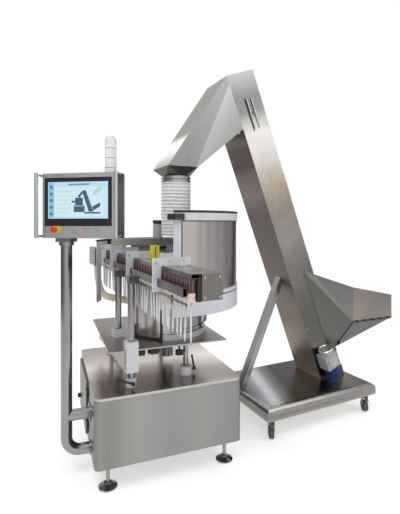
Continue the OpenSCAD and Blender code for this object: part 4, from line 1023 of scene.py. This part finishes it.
plates("screen_page", [box_at(0, 0, SCREEN_W, SCREEN_H)], lit("page_blue", (0.47, 0.68, 0.78)), 1)
plates("screen_sidebar", [box_at(4, 4, 30, 186)], lit("sidebar_blue", (0.22, 0.5, 0.7)), 2)
plates("screen_field", [box_at(38, 8, 298, 160)], lit("field_pale", (0.56, 0.76, 0.86)), 2)
plates("screen_keys", [disc_at(19, 24 + 36 * k, 9) for k in range(5)],
       lit("key_blue", (0.06, 0.2, 0.36)), 3)
plates("screen_title", [box_at(120, 176, 120, 8)], lit("title_grey", (0.16, 0.24, 0.3)), 2)
plates("screen_readings", [box_at(48, 30 + 22 * k, 70 + 16 * (k % 3), 5) for k in range(6)],
       lit("reading_amber", (0.62, 0.66, 0.36)), 3)
plates("screen_bars", [box_at(262 + 10 * k, 120 + 6 * k, 7, 26) for k in range(5)],
       lit("bar_green", (0.34, 0.62, 0.42)), 3)
plates("screen_diagram", [
    box_at(150, 34, 62, 30), box_at(158, 70, 44, 40), box_at(150, 66, 62, 3), box_at(210, 26, 92, 8),
    [(236, 36), (262, 36), (218, 150), (198, 142)], [(172, 118), (190, 118), (216, 151), (196, 143)],
    [(254, 62), (300, 84), (300, 64), (262, 42)], box_at(138, 84, 20, 10), box_at(176, 112, 12, 8)],
    lit("diagram_ink", (0.06, 0.1, 0.13)), 3)
print("screen pieces", 8)

# %% [markdown]
# ## Screws
# Sheet metal is held by rows of socket screws. Each row is a set of points on its sheet with the way that
# the sheet faces, and the screw tree does the rest, so a row can be moved without touching a single head.

# %% Screw rows
LIFT_SCREWS = [(q, l) for l in range(420, 2000, 380) for q in (14, 206)]
CHUTE_SCREWS = ((-555, 1772), (-400, 1768), (-352, 1792), (-75, 2003),
                (-205, 2300), (-295, 2170), (-422, 1980))
BRACKETS, BRACKET_S, BRACKET_Z = (-684, -221, 179, 494), -48, 1212
lift_out = way(on_lift, 0, -1, 0)
lift_up = way(on_lift, 0, 0, 1)
near_end = way(on_track, 0, -1, 0)
panel_out = way(on_panel, 0, -1, 0)


def screws(name, places, radius, height, body="frame"):
    """Socket screws at (point, direction) places; sizes in millimetres."""
    mesh = bpy.data.meshes.new(name)
    mesh.from_pydata([p for p, _ in places], [], [])
    facing = mesh.attributes.new("facing", "FLOAT_VECTOR", "POINT")
    facing.data.foreach_set("vector", [c for _, out in places for c in out])
    obj = repeated(name, mesh, HEADS, Radius=radius * MM, Height=height * MM, Finish=turned_steel)
    print(name, len(places), "screws", len(obj.data.polygons), "faces")
    seat(obj, body)


screws("elevator_side_screws", [(on_lift(q, 0, l), lift_out) for q, l in LIFT_SCREWS]
       + [(on_lift(q, LIFT_DEPTH, l), -lift_out) for q, l in LIFT_SCREWS], 5.5, 3)
screws("chute_side_screws", [(on_cart(u, LIFT_NEAR, z), lift_out) for u, z in CHUTE_SCREWS], 5, 3)
screws("panel_corner_screws", [(on_panel(x, 0, z), panel_out) for x in (8, 416) for z in (10, 335)],
       4, 2, "panel")
screws("bracket_screws", [(on_track(BRACKET_S, t, BRACKET_Z), near_end) for t in BRACKETS], 5, 4)
screws("guard_panel_screws", [(on_ring(450, a, 1000), way(on_ring, 1, a, 0)) for a in (-90, -79, -66)],
       4, 2.5, "guard_door")

# %% [markdown]
# Two threaded rods at the elevator's head tighten its belt. A true thread winds round the rod, but rings of
# the same pitch look alike from any distance, so the rod is one spun profile with a tooth for each turn.

# %% Threaded rods
TEETH, THREAD_PITCH, ROD_LENGTH = 51, 4, 203
ROD_QS, ROD_V, ROD_LOW = (91, 129), -10.5, 1934
rod_steel = brushed("rod_steel", (0.8, 0.8, 0.79), 0.24, ALL_WAYS)
tooth = (4.6, 0), (6.2, 1.4), (6.2, 2.6)
teeth = [(r, THREAD_PITCH * k + h) for k in range(TEETH) for r, h in tooth]
for k, q in enumerate(ROD_QS):
    rod = spun("threaded_rod", [(0, 0), *teeth, (0, ROD_LENGTH)], 12)
    piece(f"belt_tension_rod_{k + 1}", rod, rod_steel, "frame",
          frame_at(on_lift(q, ROD_V, ROD_LOW), lift_out, lift_up))
print("threaded rods", len(ROD_QS))

# %% [markdown]
# The pole is bolted to the cabinet's left side by a flange with four screws. They could be typed in one by
# one, but they lie on one circle, so its radius gives their places.

# %% Screws of the pole's flange
FLANGE_X, FLANGE_Y, FLANGE_Z, FLANGE_R = -6, 217.5, 345, 40
quarters = [k * math.pi / 2 + math.pi / 4 for k in range(4)]
screws("pole_flange_screws", [
    (on_floor(FLANGE_X, FLANGE_Y + FLANGE_R * math.cos(a), FLANGE_Z + FLANGE_R * math.sin(a)), left)
    for a in quarters], 4, 3)

# %% [markdown]
# ## The hopper's lower edge
# A flap under the hopper is held by black spring clips on a rubber strip. The strip follows the edge from
# the foot to the end wall as straight bars, and one bent clip is repeated along each of them.

# %% Clips and strip
EDGE = [on_cart(792, 222.5, 440), on_cart(850, 99, 650), on_cart(1268, 99, 643)]
STRIP_W, STRIP_T, CLIP_STEP, CLIP_HALF = 9, 2.5, 0.085, 6
CLIP = [(-15, 0), (15, 0), (15, 3), (9, 3), (6, 9), (-8, 11), (-10, 8), (2, 6), (3, 3), (-15, 3)]


def bar_between(name, a, b, across, width, thick, finish):
    """A bar from a to b, whose thickness stands out along across."""
    along = (b - a).normalized()
    out = (across - along * across.dot(along)).normalized()
    side = along.cross(out) * width / 2 * MM
    rise = out * thick * MM
    rings = [[p - side, p + side, p + side + rise, p - side + rise] for p in (a, b)]
    piece(name, closed(name, *swept(rings)), finish, "frame")


for k, (a, b) in enumerate(zip(EDGE, EDGE[1:])):
    bar_between(f"hopper_edge_strip_{k + 1}", a, b, lift_out, STRIP_W, STRIP_T,
                black_rubber)
    count = max(2, round((b - a).length / CLIP_STEP))
    step = (b - a) / count
    rings = [[(x * MM, y * MM, z * MM) for x, z in CLIP] for y in (-CLIP_HALF, CLIP_HALF)]
    clips = repeated(f"hopper_clips_{k + 1}", closed("spring_clip", *swept(rings)), LINE,
                     Count=count, Step=(step.length, 0, 0), Finish=black_plastic)
    seat(clips, "frame", frame_at(a + step / 2 + lift_out * STRIP_T * MM, b - a, lift_out))
    print("clips", count)

# %% [markdown]
# ## Bright lines
# The folded lid of the cabinet has two polished edges along its front; the thin lines of light that they
# catch are painted highlights, as pale bars.
# A thin strip also runs under the lower rail and keeps the skirts of the droppers in line. A line that is
# narrower than a face needs a shape of its own, so each is a thin bar.

# %% Painted highlights on the lid's edges, and the strip beside the skirts
LID_EDGES, LID_X = (488.2, 497.5), (30, 800)
STRIP_S, STRIP_Z, STRIP_ENDS = -22, 1070, (-985, 640)
# Painted highlight: a pale paint on the lid's edge bars stands for the light that the polished edges catch.
edge_highlight = painted("edge_highlight", (0.86, 0.86, 0.85), 0.3)
for k, z in enumerate(LID_EDGES):
    a, b = (on_floor(x, 0, z) for x in LID_X)
    bar_between(f"lid_edge_{k + 1}", a, b, Vector((0, -1, 0)), 2.2, 0.8, edge_highlight)
a, b = (on_track(STRIP_S, t, STRIP_Z) for t in STRIP_ENDS)
# The guide strip wears the rails' steel with its painted shade.
bar_between("skirt_guide_strip", a, b, way(on_track, 1, 0, 0), 10, 2, shaded_rail_steel)
print("lid edges", len(LID_EDGES), "guide strip", 1)

# %% [markdown]
# ## The elevator's gearmotor
# Its case is cast and its motor has cooling fins. A fin could be repeated by a tree, but all of them share
# one axis, so a single profile spun round it makes the fins, and two more make the cap and the round cover.

# %% Fins, cap and cover of the gearmotor
GEAR_Q, GEAR_V, GEAR_TOP, GEAR_FRONT, GEAR_MIDDLE = 78, -56, 235, -104, 150
FINS, FIN_STEP, FINS_LENGTH, FINS_LOW = 9, 9, 80, 13
COVER_SCREWS, COVER_SCREW_R, COVER_T = 6, 36, 7
fin = (50.4, 0), (54, 1.5), (54, 4), (50.4, 5.5)
fins = [(0, 0), *((r, FIN_STEP * k + h) for k in range(FINS) for r, h in fin), (0, FINS_LENGTH)]
cap = [(0, 0.1), (51, 0.1), (54.5, 2), (54.5, 7), (52, 9), (47, 9), (44, 6), (0, 5)]
cover = [(0, 0.1), (45, 0.1), (45, COVER_T - 3), (42, COVER_T), (27, 8), (25, 12), (0, 12)]
cast_grey = painted("cast_grey", (0.52, 0.53, 0.53), 0.38, 90)
for name, profile, finish, slot, at, up in (
    ("gearmotor_fins", fins, blue_paint, "motor_paint", (GEAR_Q, GEAR_V, FINS_LOW), lift_up),
    ("gearmotor_cap", cap, rod_steel, "stainless", (GEAR_Q, GEAR_V, GEAR_TOP), lift_up),
    ("gearmotor_cover", cover, cast_grey, "motor_paint", (GEAR_Q, GEAR_FRONT, GEAR_MIDDLE), lift_out),
):
    place = frame_at(on_lift(*at), Vector((1, 0.1, 0)), up)
    piece(name, spun(name, profile, 32), finish, "frame", place)
screws("gearmotor_screws", [
    (on_lift(GEAR_Q + COVER_SCREW_R * x, GEAR_FRONT - COVER_T, GEAR_MIDDLE + COVER_SCREW_R * y), lift_out)
    for x, y in circle(COVER_SCREWS)], 4, 3)
print("gearmotor trim", 3)
